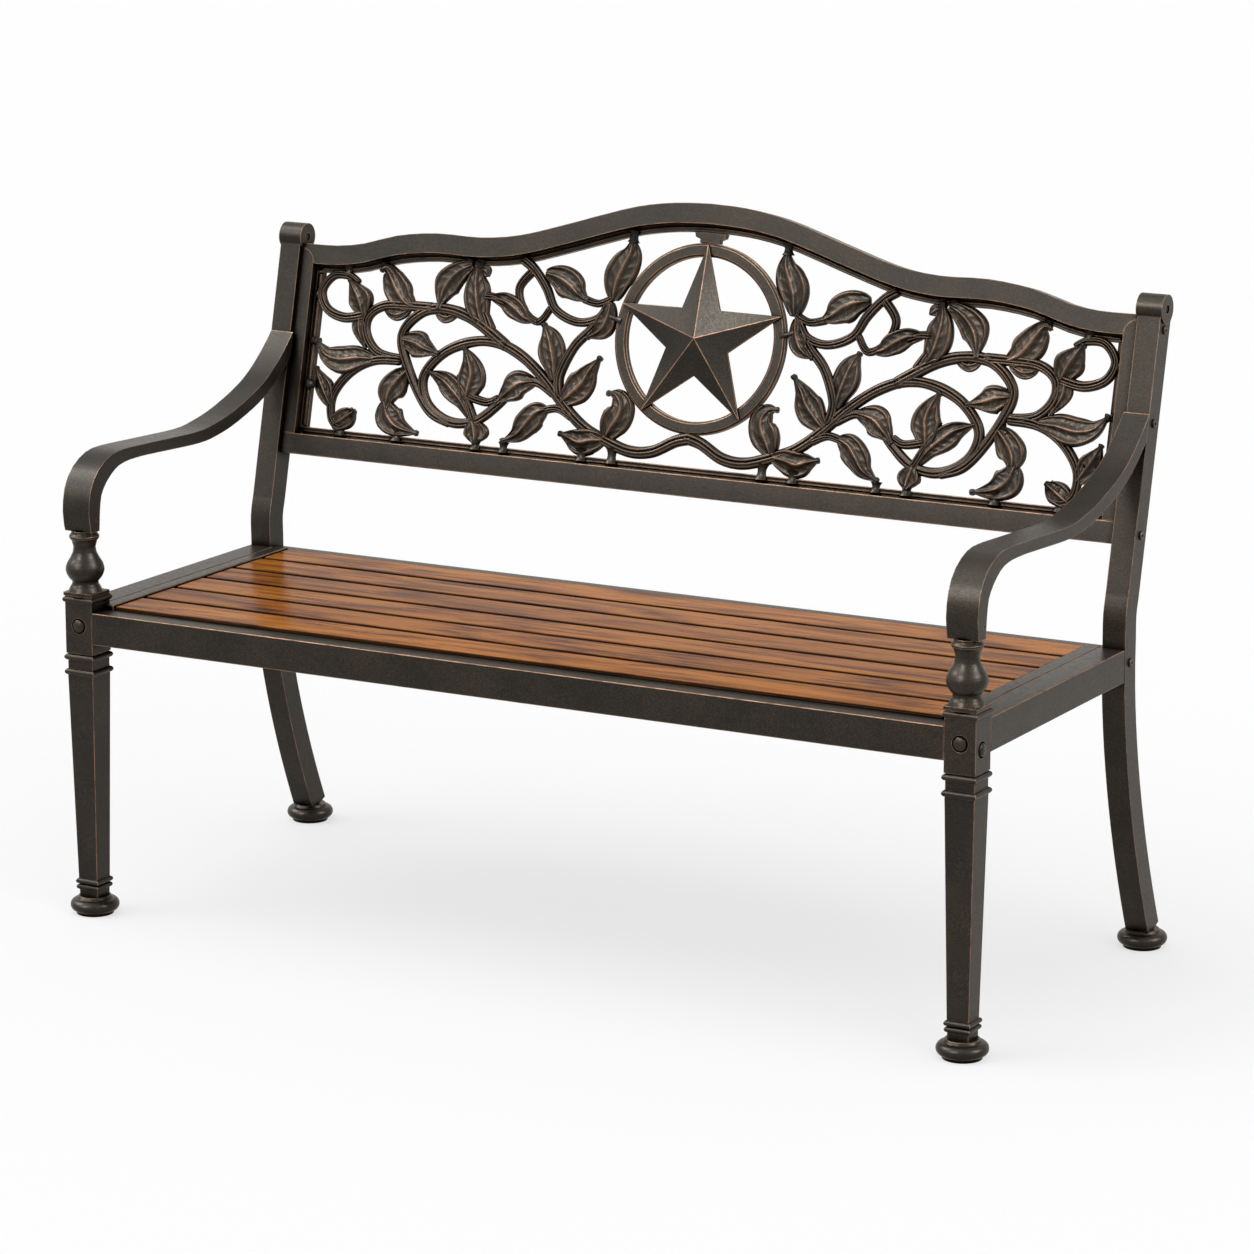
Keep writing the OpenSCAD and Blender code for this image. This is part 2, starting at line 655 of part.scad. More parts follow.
module medallion_star() color(BRONZE) on_panel() {
    rim = [for (k = [0:9]) star_point(k)];
    back = [for (p = rim) [p[0], p[1], -ring_w0]];
    front = [for (p = rim) [p[0], p[1], star_t - ring_w0]];
    polyhedron(
        points = concat(back, front, [[0, ring_v, star_t + star_rise - ring_w0]]),
        faces = [[for (k = [0:9]) 9 - k],
            for (k = [0:9]) [k, (k + 1)%10, 10 + (k + 1)%10, 10 + k],
            for (k = [0:9]) [10 + k, 10 + (k + 1)%10, 20]]);
}

module ring_crown() color(BRONZE) on_panel() {
    top_v = shoulder_h + crest_h - top_rail_h - lip_w;
    panel_slab(ring_w0, ring_w0 + ring_t) difference() {
        polygon([[-24, top_v + 5], [24, top_v + 5], [21, top_v - crown_h*0.5],
            [14, top_v - crown_h*0.7], [15, top_v - 2*crown_h], [-15, top_v - 2*crown_h],
            [-14, top_v - crown_h*0.7], [-21, top_v - crown_h*0.5]]);
        crest_band(0, top_rail_h + lip_w + fit);
        translate([0, ring_v]) circle(ring_r + fit);
    }
}

// ---- Leaf and vine castings ----

// The vine is drawn for the panel's usual sizes, in (x, v) from the panel's bottom edge,
// and stretched from there to the real opening and ring
DRAWN_PANEL_HALF = 598;
DRAWN_HALF = 569;
DRAWN_LOW = 37.5;
DRAWN_TOP = 242.5;
DRAWN_CREST = 93;
DRAWN_RING = [0, 199];
DRAWN_RING_R = 122;
// Distance from the ring within which the vine follows the ring
RING_REACH = 60;
drawn_edge = half_edge(DRAWN_PANEL_HALF, DRAWN_TOP, DRAWN_CREST);
real_edge = half_edge(panel_half, shoulder_h - top_rail_h - lip_w, crest_h);

function stretched(p) =
    let (x = p[0]*open_half/DRAWN_HALF,
        share = (p[1] - DRAWN_LOW)/(lookup(p[0], drawn_edge) - DRAWN_LOW))
    [x, open_v + share*(lookup(x, real_edge) - open_v)];
// Near the ring a point keeps its distance from it
function at(p) =
    let (d = norm(p - DRAWN_RING), pull = max(0, 1 - abs(d - DRAWN_RING_R)/RING_REACH),
        by_ring = [0, ring_v] + unit(p - DRAWN_RING)*(ring_r + d - DRAWN_RING_R))
    pull*by_ring + (1 - pull)*stretched(p);

// Stem routes, right half
STEMS = [
    [[-6, 75], [18, 69], [50, 53], [82, 50], [118, 60], [155, 76], [189, 103], [218, 131],
        [256, 158], [295, 172], [335, 169], [374, 151], [399, 118], [388, 84], [352, 64],
        [315, 68], [285, 90], [258, 118], [230, 126], [200, 112]],
    [[276, 166], [325, 195], [365, 208], [403, 206], [432, 184], [437, 158], [411, 107],
        [383, 74], [350, 61]],
    [[392, 209], [435, 209], [471, 206], [493, 190], [492, 165], [471, 144], [433, 139]],
    [[433, 137], [475, 134], [511, 115], [534, 84], [533, 54], [519, 43], [507, 50],
        [513, 64]],
    [[497, 192], [530, 186], [558, 196], [568, 219], [552, 240], [528, 241], [512, 232]],
    [[292, 277], [250, 272], [230, 248], [213, 221], [180, 208], [150, 215], [136, 238]],
    [[250, 271], [270, 245], [259, 216], [236, 204], [220, 224]],
    [[193, 108], [197, 137], [180, 176], [155, 204], [133, 239]],
    [[176, 239], [151, 234], [129, 244]],
    [[170, 85], [195, 95], [222, 88]],
    [[315, 66], [332, 99]],
    [[330, 100], [300, 94], [282, 102]],
    [[304, 184], [319, 210]],
    [[322, 231], [303, 230], [285, 223]]];

// Leaves, right half: midrib from base to tip, width, and where along it the leaf is widest
LEAVES = [
    [[[130, 239], [127, 263], [119, 284], [111, 303], [111, 323]], 46, 0.44],
    [[[133, 238], [135, 218], [144, 200], [163, 188]], 29, 0.5],
    [[[233, 267], [212, 263], [194, 254], [180, 243], [164, 236]], 41, 0.4],
    [[[202, 129], [205, 150], [211, 170], [218, 188], [228, 203]], 40, 0.5],
    [[[190, 102], [174, 117], [161, 131], [152, 148], [137, 167]], 41, 0.42],
    [[[120, 62], [112, 78], [103, 93], [101, 108], [110, 120], [124, 121]], 43, 0.36],
    [[[120, 61], [138, 59], [156, 55], [172, 60], [188, 64]], 38, 0.42],
    [[[210, 93], [225, 86], [237, 72], [250, 56], [272, 45]], 39, 0.42],
    [[[231, 127], [254, 122], [269, 110], [285, 93]], 38, 0.46],
    [[[310, 229], [290, 227], [272, 218], [256, 207], [236, 203]], 29, 0.46],
    [[[317, 193], [326, 212], [331, 232], [334, 252], [332, 274]], 41, 0.5],
    [[[332, 266], [323, 263], [315, 256]], 16, 0.6],
    [[[341, 270], [357, 262], [371, 250], [381, 234], [386, 207]], 40, 0.62],
    [[[357, 206], [375, 199], [394, 206]], 18, 0.5],
    [[[424, 207], [440, 215], [452, 228], [462, 243], [471, 254], [481, 252]], 41, 0.4],
    [[[429, 205], [450, 196], [471, 202]], 18, 0.5],
    [[[499, 189], [505, 204], [514, 220], [527, 238]], 39, 0.46],
    [[[505, 191], [504, 172], [491, 147]], 24, 0.4],
    [[[475, 136], [502, 135], [528, 131], [551, 136], [569, 155]], 38, 0.46],
    [[[536, 72], [547, 88], [554, 100], [561, 115]], 27, 0.42],
    [[[531, 42], [512, 54], [495, 66]], 32, 0.5],
    [[[423, 125], [438, 109], [448, 92], [449, 71]], 41, 0.52],
    [[[453, 83], [445, 63], [428, 50], [396, 44]], 41, 0.38],
    [[[331, 91], [328, 112], [326, 128], [332, 146], [343, 164]], 43, 0.42],
    [[[323, 72], [335, 90], [350, 104], [369, 118], [395, 127]], 32, 0.6],
    [[[438, 165], [417, 162], [402, 156], [377, 150]], 37, 0.42],
    [[[317, 69], [311, 52], [310, 38]], 34, 0.5]];

// Small lugs that join the vine to the frame and to itself: two ends and a width
LUGS = [
    [[111, 314], [110, 332], 13], [[475, 250], [476, 264], 10], [[348, 261], [346, 278], 12],
    [[331, 266], [330, 278], 12], [[276, 270], [276, 286], 12], [[530, 240], [531, 256], 14],
    [[566, 213], [575, 213], 14], [[563, 150], [575, 152], 10], [[558, 96], [575, 94], 12],
    [[518, 44], [517, 30], 16], [[430, 50], [430, 30], 14], [[310, 46], [310, 30], 14],
    [[268, 46], [268, 30], 12], [[152, 48], [152, 30], 14], [[108, 54], [108, 30], 14],
    [[144, 222], [112, 213], 9], [[96, 92], [78, 92], 12], [[428, 128], [436, 119], 10],
    [[534, 84], [546, 90], 10], [[500, 62], [517, 58], 12]];

// Distance between two rings of a stem
vine_step = 18;
// Six-sided section of a stem: place across it and depth from its middle
STEM_SECTION = [[-0.5, 0], [-0.3, 0.5], [0.3, 0.5], [0.5, 0], [0.3, -0.5], [-0.3, -0.5]];

module vine_stem(route) {
    p = curve([for (q = route) at(q)], vine_step);
    skin([for (i = [0:len(p) - 1]) let (n = side_dir(p, i))
        [for (s = STEM_SECTION) [p[i][0] - n[0]*s[0]*stem_w, p[i][1] - n[1]*s[0]*stem_w,
            s[1]*stem_d - vine_w]]]);
}

// Point at the share t of a smooth curve through the points p
function on_curve(p, t) =
    let (s = t*(len(p) - 1), i = min(floor(s), len(p) - 2))
    blend(p[max(i - 1, 0)], p[i], p[i + 1], p[min(i + 2, len(p) - 1)], s - i);

// Half width of a leaf as a share of its widest, which lies at the share m of its length
function leaf_share(t, m) = t < m ? 0.16 + 0.84*sin(90*t/m)
    : 0.18 + 0.82*pow(cos(90*(t - m)/(1 - m)), 1.2);

LEAF_STATIONS = [0, 0.13, 0.3, 0.48, 0.66, 0.84, 1];
leaf_back = 4;
// Section of a leaf: place across it, share of the rise and share of the back
LEAF_SECTION = [[-1, 0, 0], [-0.7, 1, 0], [0, 0.5, 0], [0.7, 1, 0], [1, 0, 0], [0, 0, -1]];

module leaf(route, width, m) {
    p = [for (q = route) at(q)];
    c = [for (t = LEAF_STATIONS) on_curve(p, t)];
    skin([for (i = [0:len(c) - 1])
        let (n = side_dir(c, i), share = leaf_share(LEAF_STATIONS[i], m), h = width/2*share)
        [for (s = LEAF_SECTION) [c[i][0] - n[0]*s[0]*h, c[i][1] - n[1]*s[0]*h,
            s[1]*(leaf_rise*share + 1) + s[2]*leaf_back - vine_w]]]);
}

module lug(a, b, width) hull() for (p = [at(a), at(b)])
    translate([p[0], p[1], -vine_w - lip_t/2 + 0.5]) cylinder(d = width, h = lip_t - 1, $fn = 8);

module scroll(s) color(BRONZE) scale_x(s) on_panel() difference() {
    intersection() {
        union() {
            for (route = STEMS) vine_stem(route);
            for (l = LEAVES) leaf(l[0], l[1], l[2]);
            for (l = LUGS) lug(l[0], l[1], l[2]);
        }
        panel_slab(-lip_set, lip_set + frame_d) difference() {
            translate([fit/2, open_v + fit])
                square([open_half - 1.5*fit, shoulder_h + crest_h - open_v]);
            crest_band(-crest_h, top_rail_h + lip_w + fit);
        }
    }
    translate([0, ring_v, -lip_set - frame_d])
        cylinder(r = ring_r + fit, h = 2*frame_d + lip_set, $fn = 128);
}

// ---- Fastener groups ----

head_h = bolt_d*0.6;
post_head_h = 2.5;
wood_head_h = 2.5;

module leg_front_bolts() color(STEEL) both_sides() at_front_bolt()
    screw(bolt_d, leg_w - recess_h + bolt_grip, bolt_head_d, head_h);
module leg_side_bolts() color(STEEL) both_sides() at_side_bolt()
    screw(bolt_d, leg_w - recess_h + bolt_grip, bolt_head_d, head_h);
module arm_tie_rods() color(STEEL) both_sides() difference() {
    at_tie_rod() translate([0, 0, fit])
        cylinder(d = tie_d, h = tie_sink + baluster_h + tie_top - fit);
    at_cross_pin() cylinder(d = pin_d + fit, h = leg_w, center = true);
}
module arm_cross_pins() color(STEEL) both_sides() at_cross_pin()
    cylinder(d = pin_d, h = leg_w - 1, center = true);
module arm_bolts() color(STEEL) both_sides() at_arm_bolt()
    screw(bolt_d, post_bolt_l, bolt_head_d, post_head_h);
module panel_screws() color(STEEL) both_sides() at_panel_screws()
    screw(bolt_d, panel_screw_l, bolt_head_d, post_head_h);
module rear_rail_screws() color(STEEL) both_sides() at_rear_rail_screw()
    screw(bolt_d, post_w + bolt_grip, bolt_head_d, post_head_h);
module side_rail_screws() color(STEEL) both_sides() at_side_rail_screw()
    screw(bolt_d, post_d + bolt_grip, bolt_head_d, post_head_h);
module ledge_screws() color(STEEL) both_sides() at_ledge_screws()
    screw(screw_d, ledge_w + rail_wall, 2*screw_d, wood_head_h);
module slat_screws() color(STEEL) both_sides() {
    at_shelf_screws() screw(screw_d, shelf_t + screw_in, 2*screw_d, wood_head_h);
    at_bearer_screws() screw(screw_d, bearer_t + screw_in, 2*screw_d, wood_head_h);
}
module foot_studs() color(STEEL) both_sides() for (y = [0, foot_y]) at_stud(y)
    cylinder(d = bolt_d, h = stud_sink + stud_h);

// ---- Output ----

on_floor() {
    front_leg(-1);  // front_leg_left
    front_leg(1);  // front_leg_right
    baluster(-1);  // baluster_left
    baluster(1);  // baluster_right
    arm(-1);  // arm_left
    arm(1);  // arm_right
    rear_post(-1);  // rear_post_left
    rear_post(1);  // rear_post_right
    foot(-1, 0);  // front_left_foot
    foot(1, 0);  // front_right_foot
    foot(-1, foot_y);  // rear_left_foot
    foot(1, foot_y);  // rear_right_foot
    seat_front_rail();
    seat_rear_rail();
    seat_side_rail(-1);  // seat_side_rail_left
    seat_side_rail(1);  // seat_side_rail_right
    slat_ledge(-1);  // slat_ledge_left
    slat_ledge(1);  // slat_ledge_right
    for (i = [0:slat_n - 1]) slat(i);
    seat_bearer(-1);  // seat_bearer_left
    seat_bearer(1);  // seat_bearer_right
    back_top_rail();
    back_bottom_rail();
    back_stile(-1);  // back_stile_left
    back_stile(1);  // back_stile_right
    scroll(-1);  // scroll_left
    scroll(1);  // scroll_right
    medallion_ring();
    medallion_star();
    ring_crown();
    rail_end_blocks();
    leg_front_bolts();
    leg_side_bolts();
    arm_tie_rods();
    arm_cross_pins();
    arm_bolts();
    panel_screws();
    rear_rail_screws();
    side_rail_screws();
    ledge_screws();
    slat_screws();
    foot_studs();
}
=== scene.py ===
"""Dresses the garden bench: cast metal with rubbed edges, varnished slats and leafy vines."""

import json
import math
import random

import bmesh
import bpy
from mathutils import Matrix, Vector, noise


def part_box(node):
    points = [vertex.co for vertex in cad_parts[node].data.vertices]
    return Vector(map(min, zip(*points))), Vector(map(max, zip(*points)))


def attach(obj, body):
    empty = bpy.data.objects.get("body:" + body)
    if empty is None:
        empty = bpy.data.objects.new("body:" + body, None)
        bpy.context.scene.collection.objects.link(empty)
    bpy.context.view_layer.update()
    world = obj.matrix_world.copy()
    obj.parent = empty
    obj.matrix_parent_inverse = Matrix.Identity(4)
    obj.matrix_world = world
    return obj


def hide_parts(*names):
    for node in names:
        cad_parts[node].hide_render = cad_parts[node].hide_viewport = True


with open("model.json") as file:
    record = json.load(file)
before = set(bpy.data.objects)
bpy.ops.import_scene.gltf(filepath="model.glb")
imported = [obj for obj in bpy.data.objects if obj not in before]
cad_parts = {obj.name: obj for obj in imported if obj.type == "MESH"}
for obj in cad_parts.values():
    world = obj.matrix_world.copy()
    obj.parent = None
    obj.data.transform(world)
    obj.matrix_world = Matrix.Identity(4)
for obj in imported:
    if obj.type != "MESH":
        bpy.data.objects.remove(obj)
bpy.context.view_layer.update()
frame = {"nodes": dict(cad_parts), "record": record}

bl_info = {
    "name": "Garden bench finish",
    "version": (1, 0, 0),
    "blender": (4, 5, 0),
    "location": "View3D > Sidebar > Bench",
    "description": "Dresses a cast metal garden bench around its fixed frame",
    "category": "Object",
}

MM = 0.001
SIDES = (("left", -1), ("right", 1))
ROOT = "root"
VINE_SEED = 7
SLAT_SEED = 41

# Fasteners that are coated where they show, whatever lies under the coat
SHOWN_HEADS = ("arm_bolts", "arm_cross_pins", "side_rail_screws")
COATED_SLOTS = ("bronzed_steel", "bronze_coat")


# ---- Settings ----

class BenchCasting(bpy.types.PropertyGroup):
    """Sizes of the rounded edges, of the castings' relief and of the slats' finish."""

    rail_edge: bpy.props.FloatProperty(
        name="Rail edge", description="Largest rounding of the edges on rails, posts and arms",
        default=0.0015, min=0.0005, max=0.004, unit="LENGTH")
    small_edge: bpy.props.FloatProperty(
        name="Small edge", description="Largest rounding of the edges on legs and mouldings",
        default=0.0009, min=0.0003, max=0.002, unit="LENGTH")
    short_edge: bpy.props.FloatProperty(
        name="Short edge", description="Seat rail edges up to this length, as at holes, stay sharp",
        default=0.006, min=0.0, max=0.02, unit="LENGTH")
    board_edge: bpy.props.FloatProperty(
        name="Board edge", description="Largest rounding of the edges on the slats",
        default=0.0015, min=0.0005, max=0.003, unit="LENGTH")
    # Painted shade: the depth under a slat's top over which its side is painted darker, as the gaps
    # between the slats lie in shade.
    board_shade_depth: bpy.props.FloatProperty(
        name="Board shade", description="Depth over which dirt darkens the side of a slat",
        default=0.0012, min=0.0005, max=0.01, unit="LENGTH")
    cap_radius: bpy.props.FloatProperty(
        name="Cap radius", description="Radius of the domed caps on the leg bolts",
        default=0.0082, min=0.006, max=0.0085, unit="LENGTH")
    cap_rise: bpy.props.FloatProperty(
        name="Cap rise", description="Height of the domed caps over the bolt heads",
        default=0.0030, min=0.001, max=0.004, unit="LENGTH")
    edge_angle: bpy.props.FloatProperty(
        name="Edge angle", description="Smallest corner that gets a rounded edge",
        default=math.radians(28), min=math.radians(10), max=math.radians(80),
        subtype="ANGLE")
    lip_edge: bpy.props.FloatProperty(
        name="Lip edge", description="Width of the bead on each edge of the panel's lip",
        default=0.0026, min=0.001, max=0.0035, unit="LENGTH")
    lip_groove: bpy.props.FloatProperty(
        name="Lip groove", description="Depth of the grooves between the lip's beads",
        default=0.0016, min=0.0005, max=0.003, unit="LENGTH")
    lip_step: bpy.props.FloatProperty(
        name="Lip step", description="Length of the strips into which a beaded lip is cut",
        default=0.012, min=0.006, max=0.03, unit="LENGTH")
    lip_near: bpy.props.FloatProperty(
        name="Lip near", description="Smallest depth of the lip behind the panel's front",
        default=0.010, min=0.0, max=0.02, unit="LENGTH")
    lip_far: bpy.props.FloatProperty(
        name="Lip far", description="Largest depth of the lip behind the panel's front",
        default=0.016, min=0.0, max=0.03, unit="LENGTH")
    stem_depth: bpy.props.FloatProperty(
        name="Stem depth", description="Depth of a vine stem, front to back",
        default=0.0112, min=0.006, max=0.014, unit="LENGTH")
    stem_groove: bpy.props.FloatProperty(
        name="Stem groove", description="Depth of the groove along a stem",
        default=0.0022, min=0.0, max=0.004, unit="LENGTH")
    leaf_rise: bpy.props.FloatProperty(
        name="Leaf rise", description="Height of a leaf's rolled rim and midrib",
        default=0.0066, min=0.003, max=0.009, unit="LENGTH")
    leaf_dish: bpy.props.FloatProperty(
        name="Leaf dish", description="Depth of the hollows beside the midrib",
        default=0.0036, min=0.0, max=0.007, unit="LENGTH")
    vein: bpy.props.FloatProperty(
        name="Vein", description="Height of a leaf's side veins",
        default=0.0004, min=0.0, max=0.002, unit="LENGTH")
    flute: bpy.props.FloatProperty(
        name="Flute", description="Height of the fold along each half of a leaf",
        default=0.0004, min=0.0, max=0.002, unit="LENGTH")
    knob: bpy.props.FloatProperty(
        name="Knob", description="Radius of the curled knob at a leaf's tip",
        default=0.0043, min=0.002, max=0.006, unit="LENGTH")
    leaf_back: bpy.props.FloatProperty(
        name="Leaf back", description="Thickness of a leaf behind the vine's middle",
        default=0.0056, min=0.003, max=0.008, unit="LENGTH")
    vein_gap: bpy.props.FloatProperty(
        name="Vein gap", description="Distance between a leaf's side veins",
        default=0.013, min=0.006, max=0.03, unit="LENGTH")
    full_leaf: bpy.props.FloatProperty(
        name="Full leaf", description="Width from which a leaf has its full height",
        default=0.034, min=0.01, max=0.06, unit="LENGTH")
    lug_depth: bpy.props.FloatProperty(
        name="Lug depth", description="Half the depth of the lugs that hold the vine",
        default=0.0042, min=0.002, max=0.006, unit="LENGTH")
    vine_depth: bpy.props.FloatProperty(
        name="Vine depth", description="Depth of the vine behind the panel's front",
        default=0.014, min=0.008, max=0.018, unit="LENGTH")
    lean: bpy.props.FloatProperty(
        name="Lean", description="Lean of the back panel",
        default=math.radians(13.27), subtype="ANGLE")


class BenchColours(bpy.types.PropertyGroup):
    """Colours of the metal and the wood."""

    coat: bpy.props.FloatVectorProperty(
        name="Coat", description="Dark bronze powder coat", subtype="COLOR",
        default=(0.0125, 0.0105, 0.0078), min=0, max=1)
    coat_pale: bpy.props.FloatVectorProperty(
        name="Pale coat", description="The coat's paler speckle", subtype="COLOR",
        default=(0.038, 0.032, 0.0245), min=0, max=1)
    # Painted shade: near black that the coat turns to in corners and recesses, where shade falls.
    painted_shade: bpy.props.FloatVectorProperty(
        name="Painted shade", description="Blackened coat in the recesses", subtype="COLOR",
        default=(0.0025, 0.0022, 0.0018), min=0, max=1)
    rubbed: bpy.props.FloatVectorProperty(
        name="Rubbed edge", description="Copper tone where the coat is rubbed",
        subtype="COLOR", default=(0.36, 0.20, 0.115), min=0, max=1)
    wood: bpy.props.FloatVectorProperty(
        name="Wood", description="Varnished wood", subtype="COLOR",
        default=(0.285, 0.094, 0.012), min=0, max=1)
    wood_dark: bpy.props.FloatVectorProperty(
        name="Dark grain", description="Dark lines of the grain", subtype="COLOR",
        default=(0.095, 0.025, 0.005), min=0, max=1)
    wood_pale: bpy.props.FloatVectorProperty(
        name="Pale grain", description="Pale early wood", subtype="COLOR",
        default=(0.43, 0.155, 0.022), min=0, max=1)
    knot: bpy.props.FloatVectorProperty(
        name="Knot", description="Heart of the knots", subtype="COLOR",
        default=(0.055, 0.018, 0.008), min=0, max=1)


class BenchStage(bpy.types.PropertyGroup):
    """Camera and studio light."""

    azimuth: bpy.props.FloatProperty(
        name="Azimuth", description="Direction of the camera round the bench",
        default=math.radians(29.15), subtype="ANGLE")
    pitch: bpy.props.FloatProperty(
        name="Pitch", description="Downward tilt of the camera",
        default=math.radians(13.01), subtype="ANGLE")
    place: bpy.props.FloatVectorProperty(
        name="Place", description="Position of the camera",
        default=(2.8472, -5.0628, 1.7311), subtype="TRANSLATION", unit="LENGTH")
    lens: bpy.props.FloatProperty(
        name="Lens", description="Focal length on a 36 mm sensor", default=138.17)
    top: bpy.props.FloatProperty(
        name="Top light", description="Strength of the broad light from above",
        default=1.1)
    right: bpy.props.FloatProperty(
        name="Right light", description="Strength of the light from the front right",
        default=0.7)
    left: bpy.props.FloatProperty(
        name="Left light", description="Strength of the light from the front left",
        default=0.5)
    sky: bpy.props.FloatProperty(
        name="Sky", description="Strength of the even light from all round", default=0.5)
    shine: bpy.props.FloatProperty(
        name="Shine", description="Strength of the lights that only gloss picks up",
        default=3.0)
    haze: bpy.props.FloatProperty(
        name="Haze", description="Share of plain white in the floor as it is seen",
        default=0.66, min=0, max=1)
    floor_half: bpy.props.FloatProperty(
        name="Floor", description="Half the width of the floor", default=30.0, unit="LENGTH")


# ---- Materials ----

def new_material(name):
    """A material, its node tree, and a Principled shader joined to the tree's output."""
    material = bpy.data.materials.new(name)
    material.use_nodes = True
    tree = material.node_tree
    tree.nodes.clear()
    out = tree.nodes.new("ShaderNodeOutputMaterial")
    shader = tree.nodes.new("ShaderNodeBsdfPrincipled")
    tree.links.new(shader.outputs["BSDF"], out.inputs["Surface"])
    return material, tree, shader


def node(tree, kind, **values):
    """A node whose attributes and input sockets are set by name."""
    made = tree.nodes.new("ShaderNode" + kind)
    for key, value in values.items():
        if key in made.inputs:
            made.inputs[key].default_value = value
        else:
            setattr(made, key, value)
    return made


def link(tree, source, target):
    """Joins an output socket to an input socket."""
    tree.links.new(source, target)


def noise_at(tree, vector, scale, detail=3.0, roughness=0.55, distortion=0.0):
    """Noise from 0 to 1 with about scale grains to each unit of the vector."""
    made = node(tree, "TexNoise", Scale=scale, Detail=detail, Roughness=roughness,
                Distortion=distortion)
    link(tree, vector, made.inputs["Vector"])
    return made.outputs["Fac"]


def ramp(tree, source, stops):
    """Colour ramp; each stop is a position and a grey value or a colour."""
    made = tree.nodes.new("ShaderNodeValToRGB")
    elements = made.color_ramp.elements
    while len(elements) < len(stops):
        elements.new(0.5)
    for element, (position, tone) in zip(elements, stops):
        element.position = position
        grey = isinstance(tone, (int, float))
        element.color = (tone, tone, tone, 1) if grey else (*tone, 1)
    link(tree, source, made.inputs["Fac"])
    return made.outputs["Color"]


def mix(tree, fac, a, b, blend="MIX"):
    """Mixes two colours, each a socket or a colour."""
    made = node(tree, "Mix", data_type="RGBA", blend_type=blend)
    sockets = [s for s in made.inputs if s.enabled]
    for socket, value in zip(sockets, (fac, a, b)):
        if isinstance(value, bpy.types.NodeSocket):
            link(tree, value, socket)
        elif isinstance(value, (int, float)):
            socket.default_value = value
        else:
            socket.default_value = (*value, 1)
    return [s for s in made.outputs if s.enabled][0]


def maths(tree, operation, a, b=0.0, c=0.0):
    """One sum; each part is a socket or a number."""
    made = node(tree, "Math", operation=operation)
    for socket, value in zip(made.inputs, (a, b, c)):
        if isinstance(value, bpy.types.NodeSocket):
            link(tree, value, socket)
        else:
            socket.default_value = value
    return made.outputs[0]


def stretched(tree, source, scale):
    """Coordinates with their own number of grains to the metre along each axis."""
    made = node(tree, "Mapping", Scale=scale)
    link(tree, source, made.inputs["Vector"])
    return made.outputs["Vector"]


def bump(tree, height, distance, strength, normal=None):
    """Relief of the given distance in metres, on top of another normal if there is one."""
    made = node(tree, "Bump", Distance=distance, Strength=strength)
    link(tree, height, made.inputs["Height"])
    if normal is not None:
        link(tree, normal, made.inputs["Normal"])
    return made.outputs["Normal"]


def cast_bronze(colours, name, crests):
    """Dark speckled powder coat, rubbed to copper on edges, with painted shade in the recesses.

    The attribute wear says where the coat is rubbed, and crests adds every sharp corner.
    """
    material, tree, shader = new_material(name)
    place = node(tree, "TexCoord").outputs["Object"]
    speck = noise_at(tree, place, scale=760.0, detail=2.0, roughness=0.6)
    pits = noise_at(tree, place, scale=260.0)
    cloud = noise_at(tree, place, scale=11.0, roughness=0.6)
    tone = ramp(tree, speck, ((0.42, 0.0), (0.72, 1.0)))
    coat = mix(tree, tone, tuple(colours.coat), tuple(colours.coat_pale))
    patina = ramp(tree, cloud, ((0.35, (0.72, 0.74, 0.78)), (0.65, (1.25, 1.12, 1.0))))
    coat = mix(tree, 1.0, coat, patina, "MULTIPLY")
    wear = node(tree, "Attribute", attribute_name="wear", attribute_type="GEOMETRY")
    patchy = noise_at(tree, place, scale=40.0, detail=4.0, roughness=0.65)
    patchy = ramp(tree, patchy, ((0.38, 0.35), (0.56, 1.0)))
    worn = wear.outputs["Fac"]
    if crests:
        softened = node(tree, "Bevel", Radius=0.0020, samples=4)
        turn = node(tree, "VectorMath", operation="DOT_PRODUCT")
        link(tree, softened.outputs["Normal"], turn.inputs[0])
        link(tree, node(tree, "NewGeometry").outputs["Normal"], turn.inputs[1])
        crest = ramp(tree, turn.outputs["Value"], ((0.84, 0.85), (0.96, 0.0)))
        worn = maths(tree, "MAXIMUM", worn, crest)
    worn = maths(tree, "MULTIPLY", worn, patchy)
    coat = mix(tree, worn, coat, tuple(colours.rubbed))
    # Painted shade: the Ambient Occlusion node darkens the coat to near black in corners and
    # recesses.
    nearby = node(tree, "AmbientOcclusion", Distance=0.012, samples=5)
    painted_shade = ramp(tree, nearby.outputs["AO"], ((0.50, 1.0), (0.74, 0.55), (0.95, 0.0)))
    coat = mix(tree, painted_shade, coat, tuple(colours.painted_shade))
    link(tree, coat, shader.inputs["Base Color"])
    rough = ramp(tree, pits, ((0.3, 0.30), (0.7, 0.42)))
    link(tree, rough, shader.inputs["Roughness"])
    # In the painted shade the coat is also made fully metallic, so its near black colour dims the
    # reflections there too.
    metal = maths(tree, "MULTIPLY_ADD", painted_shade, 0.65, 0.35)
    link(tree, metal, shader.inputs["Metallic"])
    shader.inputs["Specular IOR Level"].default_value = 0.24
    shader.inputs["Specular Tint"].default_value = (1.0, 0.94, 0.86, 1)
    fine = bump(tree, speck, distance=0.0003, strength=0.15)
    cast = bump(tree, pits, distance=0.0007, strength=0.13, normal=fine)
    link(tree, cast, shader.inputs["Normal"])
    return material


def board_noise(tree, board, along, across, detail, roughness, distortion=0.0):
    """Noise drawn out along a slat; along and across count its grains to the metre."""
    place = stretched(tree, board, (along, across, across))
    return noise_at(tree, place, 1.0, detail, roughness, distortion)


